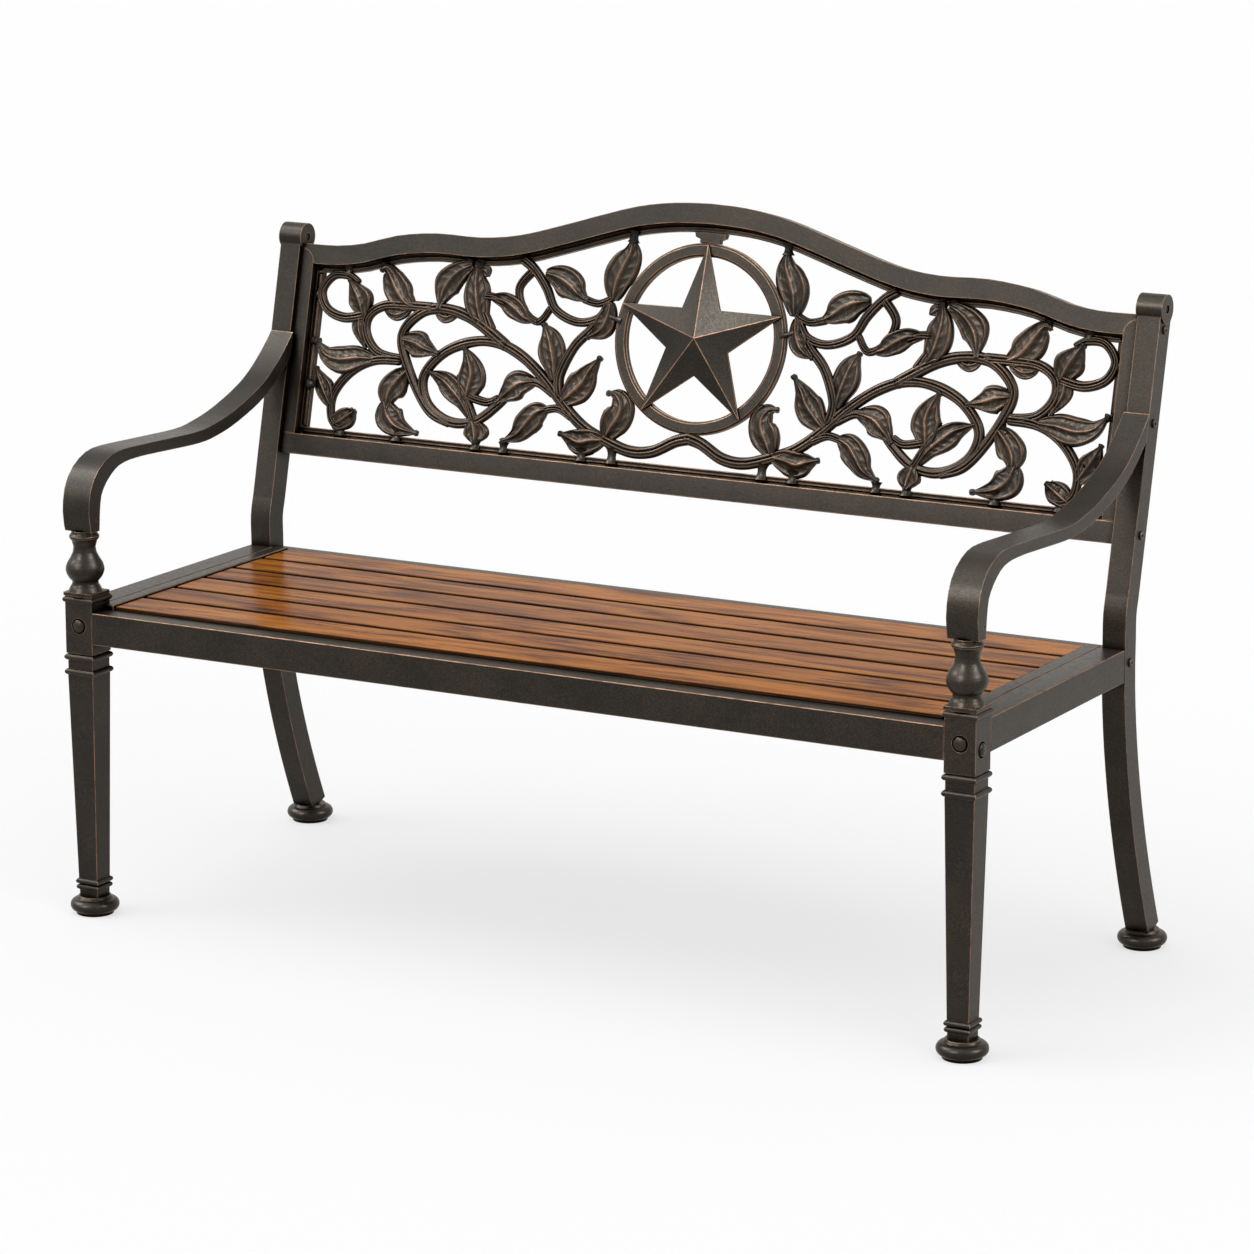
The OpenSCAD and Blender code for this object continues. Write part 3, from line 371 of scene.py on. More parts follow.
def varnished_wood(colours):
    """Glossy orange-brown boards.

    The attribute grain holds each board's own coordinates, shade its tone, and below how far under
    the board's top a place lies, from which painted shade darkens the gaps between the boards.
    """
    material, tree, shader = new_material("varnished_wood")
    grain = node(tree, "Attribute", attribute_name="grain", attribute_type="GEOMETRY")
    board = grain.outputs["Vector"]
    sway = board_noise(tree, board, 1.6, 9.0, detail=2.0, roughness=0.5)
    figure = board_noise(tree, board, 5.0, 75.0, detail=6.0, roughness=0.74, distortion=0.3)
    streak = board_noise(tree, board, 11.0, 190.0, detail=4.0, roughness=0.7)
    dark = board_noise(tree, board, 9.0, 130.0, detail=5.0, roughness=0.7)
    rings = maths(tree, "MULTIPLY_ADD", sway, 7.0, figure)
    rings = maths(tree, "FRACT", rings)
    rings = maths(tree, "PINGPONG", rings, 0.5)
    tone = maths(tree, "MULTIPLY_ADD", rings, 0.55, figure)
    tone = maths(tree, "MULTIPLY_ADD", streak, 0.5, tone)
    colour = ramp(tree, tone, ((0.66, tuple(colours.wood_dark)), (0.84, tuple(colours.wood)),
                               (1.0, tuple(colours.wood_pale))))
    colour = mix(tree, ramp(tree, dark, ((0.585, 0.0), (0.625, 0.75))), colour,
                 tuple(colours.wood_dark))
    shade = node(tree, "Attribute", attribute_name="shade", attribute_type="GEOMETRY")
    tint = ramp(tree, shade.outputs["Fac"],
                ((0.0, (0.62, 0.55, 0.50)), (1.0, (1.12, 1.1, 1.08))))
    colour = mix(tree, 1.0, colour, tint, "MULTIPLY")
    # Painted shade: a slat's side darkens to nearly black with depth under its top, as the gaps
    # between slats lie in shade.
    below = node(tree, "Attribute", attribute_name="below", attribute_type="GEOMETRY")
    deep = ramp(tree, below.outputs["Fac"], ((0.08, 1.0), (0.35, 0.45), (0.6, 0.06)))
    colour = mix(tree, 1.0, colour, deep, "MULTIPLY")
    knots = node(tree, "TexVoronoi", Scale=1.0)
    link(tree, stretched(tree, board, (4.2, 17.0, 17.0)), knots.inputs["Vector"])
    knot = ramp(tree, knots.outputs["Distance"], ((0.0, 1.0), (0.07, 0.75), (0.16, 0.0)))
    colour = mix(tree, knot, colour, tuple(colours.knot))
    link(tree, colour, shader.inputs["Base Color"])
    rough = ramp(tree, streak, ((0.3, 0.15), (0.7, 0.27)))
    link(tree, rough, shader.inputs["Roughness"])
    shader.inputs["Specular IOR Level"].default_value = 0.018
    height = maths(tree, "ADD", figure, streak)
    link(tree, bump(tree, height, distance=0.0006, strength=0.25), shader.inputs["Normal"])
    return material


def plain_steel():
    """Dull zinc-plated steel of the fasteners that don't show."""
    material, tree, shader = new_material("zinc_steel")
    place = node(tree, "TexCoord").outputs["Object"]
    dull = noise_at(tree, place, scale=300.0)
    zinc = ramp(tree, dull, ((0.3, (0.35, 0.35, 0.36)), (0.7, (0.5, 0.5, 0.51))))
    link(tree, zinc, shader.inputs["Base Color"])
    link(tree, ramp(tree, dull, ((0.3, 0.32), (0.7, 0.5))), shader.inputs["Roughness"])
    shader.inputs["Metallic"].default_value = 1.0
    return material


MATERIALS = {}


def material_for(name):
    """One of the four materials, which are all made at the first call."""
    if not MATERIALS:
        colours = bpy.context.scene.bench_colours
        MATERIALS["bronze"] = cast_bronze(colours, "antique_bronze", True)
        MATERIALS["vine"] = cast_bronze(colours, "vine_bronze", False)
        MATERIALS["wood"] = varnished_wood(colours)
        MATERIALS["steel"] = plain_steel()
    return MATERIALS[name]


# ---- Mesh help ----

# Points this close are one, and faces with a smaller corner than this are one flat
MERGE = 2e-6
FLAT = math.radians(0.4)
# Corners that are shaded sharp, on plain pieces and on the vines
PIECE_SHARP = math.radians(32)
VINE_SHARP = math.radians(75)
# Smallest ridge of the star that is rounded
STAR_RIDGE = math.radians(8)
# How far the coat is rubbed off the beads of the panel's lip
BEAD_WEAR = 0.18


def merged_copy(name):
    """A bmesh of a CAD node with its loose triangles joined and flat faces made whole."""
    bm = bmesh.new()
    bm.from_mesh(frame["nodes"][name].data)
    bmesh.ops.remove_doubles(bm, verts=bm.verts, dist=MERGE)
    bmesh.ops.dissolve_limit(bm, angle_limit=FLAT, use_dissolve_boundaries=False,
                             verts=bm.verts, edges=bm.edges, delimit=set())
    bm.normal_update()
    return bm


def round_edges(bm, width, angle, shortest=0.0):
    """Rounds the outer corners longer than shortest and marks each crown as worn.

    One short edge among them keeps every rounding of the piece narrower than width, so that
    none overlaps.
    """
    wear = bm.verts.layers.float.get("wear") or bm.verts.layers.float.new("wear")
    edges = [e for e in bm.edges
             if len(e.link_faces) == 2 and e.calc_face_angle_signed(0.0) > angle
             and e.calc_length() > shortest]
    made = bmesh.ops.bevel(bm, geom=edges, offset=width, offset_type="OFFSET",
                           segments=2, profile=0.5, affect="EDGES", material=-1,
                           clamp_overlap=True)
    new_faces = set(made["faces"])
    for vert in made["verts"]:
        if all(f in new_faces for f in vert.link_faces):
            vert[wear] = 1.0


def finish_piece(bm, name, material, replaced, angle=PIECE_SHARP):
    """Turns a bmesh into a piece that rides on the bench, and stands for any replaced nodes."""
    for face in bm.faces:
        face.smooth = True
    mesh = bpy.data.meshes.new(name)
    bm.to_mesh(mesh)
    bm.free()
    mesh.set_sharp_from_angle(angle=angle)
    mesh.materials.append(material)
    piece = bpy.data.objects.new(name, mesh)
    bpy.context.scene.collection.objects.link(piece)
    normals = piece.modifiers.new("normals", "WEIGHTED_NORMAL")
    normals.keep_sharp = True
    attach(piece, ROOT)
    if replaced:
        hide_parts(*replaced)
    return piece


def dress(name, width, angle=None, lip=None, shortest=0.0):
    """Replaces one CAD casting by a copy with its edges rounded and its lip, if any, beaded."""
    casting = bpy.context.scene.bench_casting
    bm = merged_copy(name)
    round_edges(bm, width, angle or casting.edge_angle, shortest=shortest)
    if lip:
        bead_lip(bm, lip, casting)
    return finish_piece(bm, name + "_cast", material_for("bronze"), [name])


def bead_lip(bm, panel, casting):
    """Sinks two grooves into the front of the panel's lip, with a bead between them.

    The casting is first cut into strips, whose cuts keep clear of its own corners.
    """
    across = [v.co.x for v in bm.verts]
    start = min(across)
    strips = int((max(across) - start) / casting.lip_step)
    for i in range(1, strips):
        bmesh.ops.bisect_plane(
            bm, geom=bm.verts[:] + bm.edges[:] + bm.faces[:], dist=1e-5,
            plane_co=(start + (i + 0.37) * casting.lip_step, 0, 0), plane_no=(1, 0, 0))
    faces = [f for f in bm.faces if f.normal.dot(panel.back) < -0.99
             and casting.lip_near < panel.depth(f.calc_center_median()) < casting.lip_far]
    for width, depth in ((casting.lip_edge, -casting.lip_groove),
                         (casting.lip_edge / 2, casting.lip_groove)):
        bmesh.ops.inset_region(bm, faces=faces, thickness=width, depth=depth,
                               use_even_offset=False, use_boundary=True)
    wear = bm.verts.layers.float["wear"]
    for face in faces:
        for vert in face.verts:
            vert[wear] = BEAD_WEAR


# ---- Vine castings ----

# Stems on the right half: route in millimetres along and up the back panel, and width
STEMS = (
    (((-6, 75), (18, 69), (50, 53), (82, 50), (118, 60), (155, 76), (189, 103), (218, 131),
      (256, 158), (295, 172), (335, 169), (374, 151), (399, 118), (388, 84), (352, 64),
      (315, 68), (285, 90), (258, 118), (230, 126), (200, 112)), 14.5),
    (((276, 166), (325, 195), (365, 208), (403, 206), (432, 184), (437, 158), (411, 107),
      (383, 74), (350, 61)), 14.5),
    (((392, 209), (435, 209), (471, 206), (493, 190), (492, 165), (471, 144), (433, 139)),
      13.5),
    (((433, 137), (475, 134), (511, 115), (534, 84), (533, 54), (519, 43), (507, 50),
      (513, 64)), 12.5),
    (((497, 192), (530, 186), (558, 196), (568, 219), (552, 240), (528, 241), (512, 232)),
      12.5),
    (((270, 283), (250, 270), (230, 248), (213, 221), (180, 208), (150, 215), (136, 238)),
      12.5),
    (((250, 271), (270, 245), (259, 216), (236, 204), (220, 224)), 11),
    (((193, 108), (197, 137), (180, 176), (155, 204), (133, 239)), 14),
    (((176, 239), (151, 234), (129, 244)), 10.5),
    (((170, 85), (195, 95), (222, 88)), 11.5),
    (((315, 66), (332, 99)), 12),
    (((330, 100), (300, 94), (282, 102)), 11.5),
    (((304, 184), (319, 210)), 15),
    (((322, 231), (303, 230), (285, 223)), 11),
)

# Leaves: midrib from base to tip, width, and where along it the leaf is widest
LEAVES = (
    (((130, 239), (127, 263), (119, 284), (111, 303), (111, 323)), 46, 0.44),
    (((133, 238), (135, 218), (144, 200), (163, 188)), 29, 0.5),
    (((233, 267), (212, 263), (194, 254), (180, 243), (164, 236)), 41, 0.4),
    (((202, 129), (205, 150), (211, 170), (218, 188), (228, 203)), 40, 0.5),
    (((190, 102), (174, 117), (161, 131), (152, 148), (137, 167)), 41, 0.42),
    (((120, 62), (112, 78), (103, 93), (101, 108), (110, 120), (124, 121)), 43, 0.36),
    (((120, 61), (138, 59), (156, 55), (172, 60), (188, 64)), 38, 0.42),
    (((210, 93), (225, 86), (237, 72), (250, 56), (272, 45)), 39, 0.42),
    (((231, 127), (254, 122), (269, 110), (285, 93)), 38, 0.46),
    (((310, 229), (290, 227), (272, 218), (256, 207), (236, 203)), 29, 0.46),
    (((317, 193), (326, 212), (331, 232), (334, 252), (332, 274)), 41, 0.5),
    (((332, 266), (323, 263), (315, 256)), 16, 0.6),
    (((341, 270), (357, 262), (371, 250), (381, 234), (386, 207)), 40, 0.62),
    (((357, 206), (375, 199), (394, 206)), 18, 0.5),
    (((424, 207), (440, 215), (452, 228), (462, 243), (471, 254), (481, 252)), 41, 0.4),
    (((429, 205), (450, 196), (471, 202)), 18, 0.5),
    (((499, 189), (505, 204), (514, 220), (527, 238)), 39, 0.46),
    (((505, 191), (504, 172), (491, 147)), 24, 0.4),
    (((475, 136), (502, 135), (528, 131), (551, 136), (569, 155)), 38, 0.46),
    (((534, 68), (546, 86), (555, 101), (564, 119)), 30, 0.42),
    (((531, 42), (512, 54), (495, 66)), 32, 0.5),
    (((423, 125), (438, 109), (448, 92), (449, 71)), 41, 0.52),
    (((453, 83), (445, 63), (428, 50), (396, 44)), 41, 0.38),
    (((331, 91), (328, 112), (326, 128), (332, 146), (343, 164)), 43, 0.42),
    (((323, 72), (335, 90), (350, 104), (369, 118), (395, 127)), 32, 0.6),
    (((438, 165), (417, 162), (402, 156), (377, 150)), 37, 0.42),
    (((317, 69), (311, 52), (310, 38)), 34, 0.5),
)

# Small lugs that join the vine to the frame: two ends and a width
LUGS = (
    ((111, 314), (110, 332), 13), ((475, 250), (476, 264), 10), ((348, 261), (346, 278), 12),
    ((331, 266), (330, 278), 12), ((530, 240), (531, 256), 14),
    ((566, 213), (575, 213), 14), ((563, 150), (575, 152), 10), ((558, 96), (575, 94), 12),
    ((518, 44), (517, 30), 16), ((430, 50), (430, 30), 14), ((310, 46), (310, 30), 14),
    ((268, 46), (268, 30), 12), ((152, 48), (152, 30), 14), ((108, 54), (108, 30), 14),
    ((144, 222), (112, 213), 9), ((428, 128), (436, 119), 10), ((534, 84), (546, 90), 10),
    ((500, 62), (517, 58), 12),
)


class Panel:
    """The leaning back panel: x along it, v up its slope, w behind its front face."""

    def __init__(self, casting, sign):
        """The leaning bottom rail's box gives the rail's own depth, and so its front corner."""
        low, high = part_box("back_bottom_rail")
        sin, cos = math.sin(casting.lean), math.cos(casting.lean)
        frame_depth = (high.y - low.y) - (high.z - low.z) * sin / cos
        frame_depth /= cos - sin * sin / cos
        self.up = Vector((0, sin, cos))
        self.back = Vector((0, cos, -sin))
        self.corner = Vector((0, low.y, low.z + frame_depth * sin))
        self.sign = sign

    def point(self, x, v, w):
        """The place in the room of a place on the panel."""
        return self.corner + Vector((self.sign * x, 0, 0)) + self.up * v + self.back * w

    def depth(self, point):
        """How far a place in the room lies behind the panel's front."""
        return (point - self.corner).dot(self.back)


def blend(a, b, c, d, t):
    """Point of a smooth curve between b and c."""
    return 0.5 * (2 * b + (c - a) * t + (2 * a - 5 * b + 4 * c - d) * t ** 2
                  + (3 * b - a - 3 * c + d) * t ** 3)


class Route:
    """A smooth curve through points given in millimetres."""

    def __init__(self, points):
        self.points = [Vector(p) * MM for p in points]
        self.length = sum((b - a).length for a, b in zip(self.points, self.points[1:]))

    def at(self, share):
        """The place at a share of the route, each stretch between points counting the same."""
        last = len(self.points) - 1
        place = min(max(share, 0.0), 1.0) * last
        i = min(int(place), last - 1)
        p = self.points
        return blend(p[max(i - 1, 0)], p[i], p[i + 1], p[min(i + 2, last)], place - i)

    def side(self, share):
        """The direction across the route, to the left of the way ahead."""
        ahead = self.at(share + 0.01) - self.at(share - 0.01)
        return Vector((-ahead.y, ahead.x)).normalized()


def wrapped(bm, rows, columns, place):
    """A closed skin: a grid wrapped round, with its ends drawn to a point by place.

    place takes the share along and the turn round the bar, both from 0 to 1, and gives a
    place in the room and how worn the coat is there.
    """
    wear = bm.verts.layers.float["wear"]
    made = bmesh.ops.create_grid(bm, x_segments=rows, y_segments=columns, size=1.0)["verts"]
    for vert in made:
        along = round((vert.co.x + 1) / 2, 5)
        vert.co, vert[wear] = place(along, round((vert.co.y + 1) / 2, 5) % 1.0)
    bmesh.ops.remove_doubles(bm, verts=made, dist=1e-6)


def rounded_end(share, length, radius):
    """Factor that rounds off both ends of a bar of the given length."""
    gap = min(share, 1 - share) * length / radius
    return math.sqrt(max(0.0, 1 - (1 - min(gap, 1.0)) ** 2))


def peak(value, centre, width):
    """A smooth hump that is 1 at the centre and fades over the width."""
    return math.exp(-((value - centre) / width) ** 2)


# Across a stem, from -1 to 1: middle, width and depth of its grooves, and middle and width
# of the rubbed crests between them
STEM_GROOVES = ((0.18, 0.15, 1.0), (-0.34, 0.12, 0.7))
STEM_CRESTS = ((0.52, 0.12), (-0.08, 0.1), (-0.6, 0.1))
STEM_WEAR = 0.25
# Mesh of a stem: about one ring of this many points to each step along it
STEM_STEP = 3.2 * MM
STEM_SIDES = 32


def add_stem(bm, panel, points, width, casting):
    """A stem: an oval bar along its route, grooved in front and thinner towards its end."""
    route = Route(points)
    phase = random.uniform(0, 50)

    def place(u, t):
        turn = 2 * math.pi * t
        across, out = math.cos(turn), math.sin(turn)
        centre, side = route.at(u), route.side(u)
        swell = rounded_end(u, route.length, width / 2) * (1.12 - 0.24 * u)
        swell *= 1 + 0.08 * noise.noise(Vector((u * route.length * 40, phase, 0)))
        half = width / 2 * swell
        front = max(out, 0.0) ** 0.5
        grooves = sum(deep * peak(across, middle, wide) for middle, wide, deep in STEM_GROOVES)
        groove = casting.stem_groove * grooves * front * swell
        depth = casting.stem_depth / 2 * out * swell - groove
        flat = centre + side * across * half
        worn = max(peak(across, middle, wide) for middle, wide in STEM_CRESTS)
        return panel.point(flat.x, flat.y, casting.vine_depth - depth), worn * front * STEM_WEAR

    wrapped(bm, max(8, int(route.length / STEM_STEP)), STEM_SIDES, place)


def add_lug(bm, panel, start, end, width, casting):
    """A lug: a short plain bar that is thicker at both ends."""
    route = Route((start, end))

    def place(u, t):
        turn = 2 * math.pi * t
        centre, side = route.at(u), route.side(u)
        swell = rounded_end(u, route.length, width / 4) * (0.85 + 1.1 * (2 * u - 1) ** 2)
        flat = centre + side * math.cos(turn) * width / 2 * swell
        out = math.sin(turn) * casting.lug_depth * swell
        return panel.point(flat.x, flat.y, casting.vine_depth - out), 0.0

    wrapped(bm, 8, 12, place)


# A leaf's blade: its width at the foot as a share of its widest, and where along it it ends
LEAF_FOOT = 0.20
LEAF_END = 0.97
# Across half a leaf, from the midrib at 0 to the edge at 1
RIB_WIDTH = 0.10
HALF_MIDDLE = 0.46
RIM = 0.80
RIM_WIDTH = 0.11
# How far the coat is rubbed off each relief
RIM_WEAR = 0.26
RIB_WEAR = 0.40
VEIN_WEAR = 0.08
# Rounding of a leaf's two ends, and how far its tip curls forward
LEAF_TIP = 2 * MM
TIP_CURL = 2.5 * MM
# Mesh of a leaf: about one ring of this many points to each step along it
LEAF_STEP = 1.5 * MM
LEAF_SIDES = 56


def leaf_share(along, widest):
    """Half width of a leaf's blade as a share of its widest."""
    if along < widest:
        grown = math.sin(math.pi / 2 * along / widest) ** 0.9
        return LEAF_FOOT + (1 - LEAF_FOOT) * grown
    past = (along - widest) / (LEAF_END - widest)
    return math.cos(math.pi / 2 * min(1.0, past)) ** 1.1


def add_leaf(bm, panel, points, width, widest, casting):
    """A cast leaf: rolled rim, ridged midrib, veined halves and a tip curled into a knob.

    In place, v runs from -1 to 1 across the front and back again across the rear.
    """
    route = Route(points)
    phase = random.uniform(0, 6)
    tilt = random.uniform(-0.22, 0.22)
    veins = max(2.5, route.length / casting.vein_gap)
    size = min(1.0, width / casting.full_leaf)
    knob = casting.knob * size

    def place(u, t):
        front = t < 0.5
        v = 4 * t - 1 if front else 3 - 4 * t
        blade = leaf_share(u, widest) * (1 + 0.06 * math.sin(8 * u + phase + v))
        ball = max(0.0, 1 - ((1 - u) * route.length / knob - 1) ** 2)
        neck = 0.45 * knob * min(1.0, (1 - u) * route.length / (0.4 * knob))
        half = max(width / 2 * blade, knob * math.sqrt(ball), neck)
        end = rounded_end(u, route.length, LEAF_TIP)
        half *= end
        body = min(1.0, half / (0.3 * width))
        centre, side = route.at(u), route.side(u)
        rim = peak(abs(v), RIM, RIM_WIDTH)
        rib = peak(v, 0.0, RIB_WIDTH)
        hollow = (1 - rim) * (1 - rib)
        bend = 0.25 * math.sin(5 * u + phase)
        lines = 0.5 + 0.5 * math.cos(2 * math.pi * (u * veins - abs(v) * 1.3 * body + bend))
        flute = peak(abs(v), HALF_MIDDLE + 0.05 * math.sin(6 * u + phase), 0.09)
        edge = math.sqrt(max(0.0, 1 - abs(v) ** 5))
        if front:
            rise = casting.leaf_rise * (0.55 + 0.45 * body) * size * edge
            dish = peak(abs(v), HALF_MIDDLE, 0.40)
            dish *= 0.85 + 0.15 * math.sin(7 * u + 2 * phase)
            rise -= casting.leaf_dish * hollow * body * size * dish
            rise += (casting.vein * lines ** 3 + casting.flute * flute) * hollow * body
            rise += tilt * v * half
            worn = max(rim * RIM_WEAR, rib * RIB_WEAR, VEIN_WEAR * lines ** 4 * hollow)
            worn *= edge * body
        else:
            rise = -casting.leaf_back * edge * size * (0.4 + 0.6 * body)
            worn = 0.0
        rise = rise * end + TIP_CURL * peak((1 - u) * route.length, 0.0, 2 * knob)
        flat = centre + side * v * half
        return panel.point(flat.x, flat.y, casting.vine_depth - rise), worn

    wrapped(bm, max(20, int(route.length / LEAF_STEP)), LEAF_SIDES, place)


# ---- Operators ----

class BENCH_OT_posts(bpy.types.Operator):
    """Legs, posts, arms, balusters and feet"""

    bl_idname = "bench.posts"
    bl_label = "Legs, posts and arms"

    def execute(self, context):
        casting = context.scene.bench_casting
        for side, _ in SIDES:
            dress("front_leg_" + side, casting.small_edge)
            dress("baluster_" + side, casting.small_edge)
            dress("arm_" + side, casting.rail_edge)
            dress("rear_post_" + side, casting.rail_edge)
            for end in ("front", "rear"):
                dress(f"{end}_{side}_foot", casting.small_edge)
        return {"FINISHED"}


class BENCH_OT_rails(bpy.types.Operator):
    """Seat rails, ledges, bearers and the frame of the back panel"""

    bl_idname = "bench.rails"
    bl_label = "Rails"

    def execute(self, context):
        casting = context.scene.bench_casting
        panel = Panel(casting, 1)
        for name in ("seat_front_rail", "seat_rear_rail"):
            dress(name, casting.rail_edge, shortest=casting.short_edge)
        for name in ("back_top_rail", "back_bottom_rail"):
            dress(name, casting.rail_edge, lip=panel)
        for side, _ in SIDES:
            for name in ("seat_side_rail_", "slat_ledge_"):
                dress(name + side, casting.rail_edge, shortest=casting.short_edge)
            dress("seat_bearer_" + side, casting.small_edge)
            dress("back_stile_" + side, casting.rail_edge, lip=panel)
        return {"FINISHED"}


class BENCH_OT_medallion(bpy.types.Operator):
    """Ring, star and crown bracket"""

    bl_idname = "bench.medallion"
    bl_label = "Medallion"

    def execute(self, context):
        casting = context.scene.bench_casting
        dress("medallion_ring", casting.small_edge)
        dress("medallion_star", casting.small_edge, STAR_RIDGE)
        dress("ring_crown", casting.small_edge)
        return {"FINISHED"}


class BENCH_OT_vines(bpy.types.Operator):
    """Leaf and vine castings on both sides of the medallion"""

    bl_idname = "bench.vines"
    bl_label = "Vines"

    def execute(self, context):
        casting = context.scene.bench_casting
        for side, sign in SIDES:
            random.seed(VINE_SEED)
            panel = Panel(casting, sign)
            bm = bmesh.new()
            bm.verts.layers.float.new("wear")
            for route, width in STEMS:
                add_stem(bm, panel, route, width * MM, casting)
            for start, end, width in LUGS:
                add_lug(bm, panel, start, end, width * MM, casting)
            for route, width, widest in LEAVES:
                add_leaf(bm, panel, route, width * MM, widest, casting)
            bmesh.ops.recalc_face_normals(bm, faces=bm.faces)
            finish_piece(bm, f"vine_{side}_cast", material_for("vine"),
                         ["scroll_" + side], angle=VINE_SHARP)
        return {"FINISHED"}


class BENCH_OT_slats(bpy.types.Operator):
    """Six varnished slats, each with its own grain"""

    bl_idname = "bench.slats"
    bl_label = "Slats"

    def execute(self, context):
        casting = context.scene.bench_casting
        random.seed(SLAT_SEED)
        slats = (name for name in frame["nodes"] if name.rstrip("0123456789") == "slat_")
        for name in sorted(slats):
            bm = merged_copy(name)
            round_edges(bm, casting.board_edge, casting.edge_angle)
            grain = bm.verts.layers.float_vector.new("grain")
            shade = bm.verts.layers.float.new("shade")
            below = bm.verts.layers.float.new("below")
            offset = Vector([random.uniform(0, 9) for _ in range(3)])
            tint = random.uniform(0.35, 1.0)
            low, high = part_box(name)
            middle = (low + high) / 2
            for vert in bm.verts:
                vert[grain] = vert.co - middle + offset
                vert[shade] = tint
                # Depth under the top, which the wood material turns into painted shade in the gaps.
                vert[below] = min(1.0, (high.z - vert.co.z) / casting.board_shade_depth)
            finish_piece(bm, name + "_board", material_for("wood"), [name])
        return {"FINISHED"}


class BENCH_OT_fasteners(bpy.types.Operator):
    """Bolts, screws, rods and blocks; those that show are coated, the rest are steel"""

    bl_idname = "bench.fasteners"
    bl_label = "Fasteners"

    def execute(self, context):
        slots = {row["node"]: row["material_slot"] for row in frame["record"]["subparts"]}
        for name, piece in frame["nodes"].items():
            if piece.hide_render:
                continue
            coated = slots[name] in COATED_SLOTS or name in SHOWN_HEADS
            material = material_for("bronze" if coated else "steel")
            piece.data.materials.clear()
            piece.data.materials.append(material)
        return {"FINISHED"}


class BENCH_OT_caps(bpy.types.Operator):
    """Domed caps in the recesses over the front legs' bolts"""

    bl_idname = "bench.caps"
    bl_label = "Bolt caps"

    def execute(self, context):
        casting = context.scene.bench_casting
        low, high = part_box("leg_front_bolts")
        head = (high.z - low.z) / 2
        for side, sign in SIDES:
            seat = Vector((sign * (high.x - head), low.y, (low.z + high.z) / 2))
            self.add_cap("cap_front_" + side, seat, Vector((0, -1, 0)), casting)
        low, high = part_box("leg_side_bolts")
        for side, sign in SIDES:
            seat = Vector((sign * high.x, (low.y + high.y) / 2, (low.z + high.z) / 2))
            self.add_cap("cap_side_" + side, seat, Vector((sign, 0, 0)), casting)
        return {"FINISHED"}

    def add_cap(self, name, seat, out, casting):
        """A dome over the middle of a bolt's head that faces out."""
        bm = bmesh.new()
        bm.verts.layers.float.new("wear")
        turn = out.to_track_quat("Z", "Y").to_matrix().to_4x4()
        bmesh.ops.create_uvsphere(bm, u_segments=32, v_segments=16, radius=casting.cap_radius)
        bmesh.ops.scale(bm, vec=(1, 1, casting.cap_rise / casting.cap_radius), verts=bm.verts)
        bmesh.ops.transform(bm, matrix=Matrix.Translation(seat) @ turn, verts=bm.verts)
        finish_piece(bm, name, material_for("bronze"), [])


# Lights: the direction towards each and its width in degrees. The setting that has a soft
# sun's name is its strength, and all gloss suns share a strength and a width.
SOFT_SUNS = (
    ("top", (-0.35, -0.3, 1.0), 60),
    ("right", (1.0, -0.5, 0.7), 45),
    ("left", (-1.0, -0.75, 0.6), 35),
)
GLOSS_SUNS = (
    ("shine_front", (-0.28, -0.83, 0.55)),
    ("shine_left", (-1.0, -0.2, 0.9)),
    ("shine_right", (1.2, 0.1, 0.8)),
)
GLOSS_SPREAD = 24


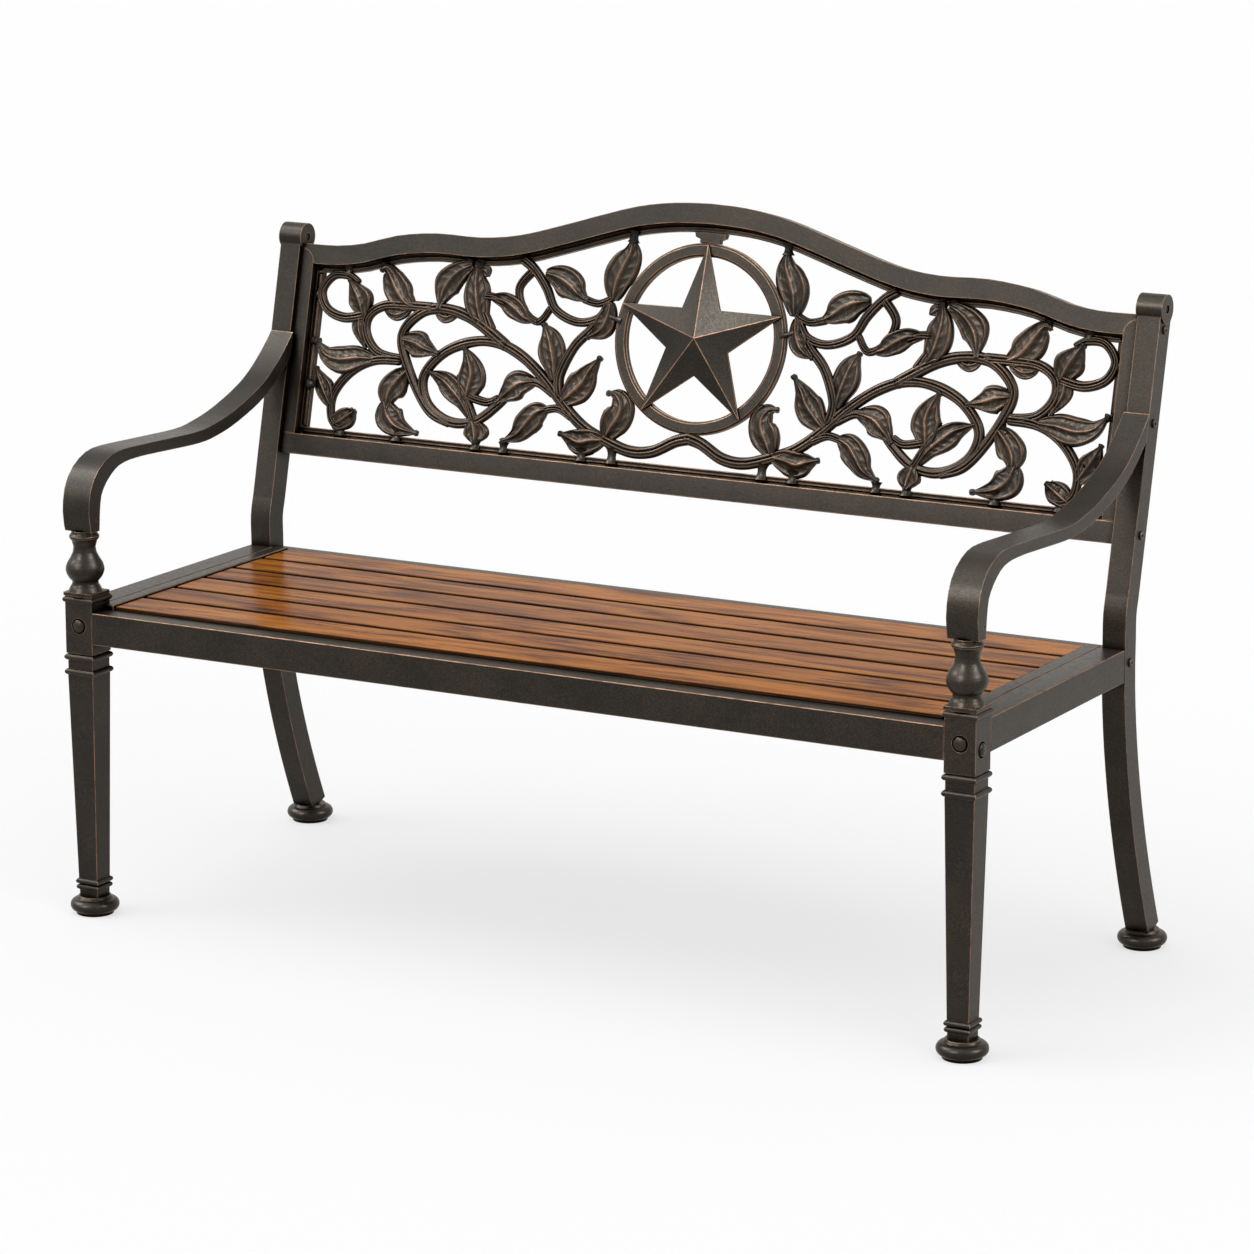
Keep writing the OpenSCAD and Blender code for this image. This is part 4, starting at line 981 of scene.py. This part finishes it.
class BENCH_OT_stage(bpy.types.Operator):
    """Camera, pale floor and soft studio light"""

    bl_idname = "bench.stage"
    bl_label = "Stage"

    def execute(self, context):
        stage = context.scene.bench_stage
        context.scene.view_settings.view_transform = "Standard"
        self.add_camera(context, stage)
        self.add_floor(context, stage)
        self.add_world(context, stage)
        for name, direction, spread in SOFT_SUNS:
            self.add_sun(context, name, direction, spread, getattr(stage, name))
        for name, direction in GLOSS_SUNS:
            lamp = self.add_sun(context, name, direction, GLOSS_SPREAD, stage.shine)
            lamp.visible_diffuse = False
        return {"FINISHED"}

    def add_camera(self, context, stage):
        """The camera at its place, turned by azimuth and pitch, with everything sharp."""
        data = bpy.data.cameras.new("camera")
        data.lens = stage.lens
        data.sensor_width = 36.0
        data.clip_end = 60.0
        camera = bpy.data.objects.new("camera", data)
        camera.location = stage.place
        back = Vector((math.sin(stage.azimuth) * math.cos(stage.pitch),
                       -math.cos(stage.azimuth) * math.cos(stage.pitch),
                       math.sin(stage.pitch)))
        camera.rotation_mode = "QUATERNION"
        camera.rotation_quaternion = (-back).to_track_quat("-Z", "Y")
        context.scene.collection.objects.link(camera)
        context.scene.camera = camera

    def seen_directly(self, tree):
        """1 for what the camera sees, also in gloss and through clear matter, else 0."""
        path = tree.nodes.new("ShaderNodeLightPath")
        direct = maths(tree, "MAXIMUM", path.outputs["Is Camera Ray"],
                       path.outputs["Is Glossy Ray"])
        return maths(tree, "MAXIMUM", direct, path.outputs["Is Transmission Ray"])

    def add_floor(self, context, stage):
        """A pale floor that takes soft shadows and is partly plain white where it is seen."""
        bm = bmesh.new()
        bmesh.ops.create_grid(bm, x_segments=1, y_segments=1, size=stage.floor_half)
        mesh = bpy.data.meshes.new("floor")
        bm.to_mesh(mesh)
        bm.free()
        material, tree, shader = new_material("pale_floor")
        shader.inputs["Base Color"].default_value = (0.97, 0.97, 0.97, 1)
        shader.inputs["Roughness"].default_value = 0.9
        shader.inputs["Specular IOR Level"].default_value = 0.0
        white = node(tree, "Emission", Color=(1, 1, 1, 1), Strength=1.0)
        seen = maths(tree, "MULTIPLY", self.seen_directly(tree), stage.haze)
        both = tree.nodes.new("ShaderNodeMixShader")
        link(tree, seen, both.inputs[0])
        link(tree, shader.outputs["BSDF"], both.inputs[1])
        link(tree, white.outputs[0], both.inputs[2])
        out = next(n for n in tree.nodes if n.bl_idname == "ShaderNodeOutputMaterial")
        link(tree, both.outputs[0], out.inputs["Surface"])
        mesh.materials.append(material)
        floor = bpy.data.objects.new("floor", mesh)
        context.scene.collection.objects.link(floor)

    def add_world(self, context, stage):
        """Plain white behind the bench, and a weaker even light from all round."""
        world = bpy.data.worlds.new("studio")
        world.use_nodes = True
        tree = world.node_tree
        tree.nodes.clear()
        out = tree.nodes.new("ShaderNodeOutputWorld")
        seen = node(tree, "Background", Color=(1, 1, 1, 1), Strength=1.0)
        lit = node(tree, "Background", Color=(1, 1, 1, 1), Strength=stage.sky)
        both = tree.nodes.new("ShaderNodeMixShader")
        link(tree, self.seen_directly(tree), both.inputs[0])
        link(tree, lit.outputs[0], both.inputs[1])
        link(tree, seen.outputs[0], both.inputs[2])
        link(tree, both.outputs[0], out.inputs["Surface"])
        context.scene.world = world

    def add_sun(self, context, name, direction, spread, strength):
        """A broad, soft light from far off, whose cone is spread degrees wide."""
        data = bpy.data.lights.new(name, "SUN")
        data.energy = strength
        data.angle = math.radians(spread)
        lamp = bpy.data.objects.new(name, data)
        lamp.rotation_mode = "QUATERNION"
        lamp.rotation_quaternion = (-Vector(direction)).to_track_quat("-Z", "Y")
        context.scene.collection.objects.link(lamp)
        return lamp


class BENCH_PT_panel(bpy.types.Panel):
    """Lists the bench's pieces and their settings"""

    bl_idname = "BENCH_PT_panel"
    bl_label = "Garden bench"
    bl_space_type = "VIEW_3D"
    bl_region_type = "UI"
    bl_category = "Bench"

    def draw(self, context):
        for group in ("bench_casting", "bench_colours", "bench_stage"):
            settings = getattr(context.scene, group)
            for key in settings.__annotations__:
                self.layout.prop(settings, key)
        for operator in OPERATORS:
            self.layout.operator(operator.bl_idname)


SETTINGS = (("bench_casting", BenchCasting), ("bench_colours", BenchColours),
            ("bench_stage", BenchStage))
OPERATORS = (BENCH_OT_posts, BENCH_OT_rails, BENCH_OT_medallion, BENCH_OT_vines,
             BENCH_OT_slats, BENCH_OT_fasteners, BENCH_OT_caps, BENCH_OT_stage)


def register():
    """Adds the settings, operators and panel to Blender."""
    for name, group in SETTINGS:
        bpy.utils.register_class(group)
        setattr(bpy.types.Scene, name, bpy.props.PointerProperty(type=group))
    for cls in (*OPERATORS, BENCH_PT_panel):
        bpy.utils.register_class(cls)


def unregister():
    """Takes them out again in the opposite order."""
    for cls in reversed((*OPERATORS, BENCH_PT_panel)):
        bpy.utils.unregister_class(cls)
    for name, group in reversed(SETTINGS):
        delattr(bpy.types.Scene, name)
        bpy.utils.unregister_class(group)


def main():
    """Builds the whole scene."""
    register()
    bpy.ops.bench.stage()
    bpy.ops.bench.posts()
    bpy.ops.bench.rails()
    bpy.ops.bench.medallion()
    bpy.ops.bench.vines()
    bpy.ops.bench.slats()
    bpy.ops.bench.fasteners()
    bpy.ops.bench.caps()


if __name__ == "__main__":
    main()
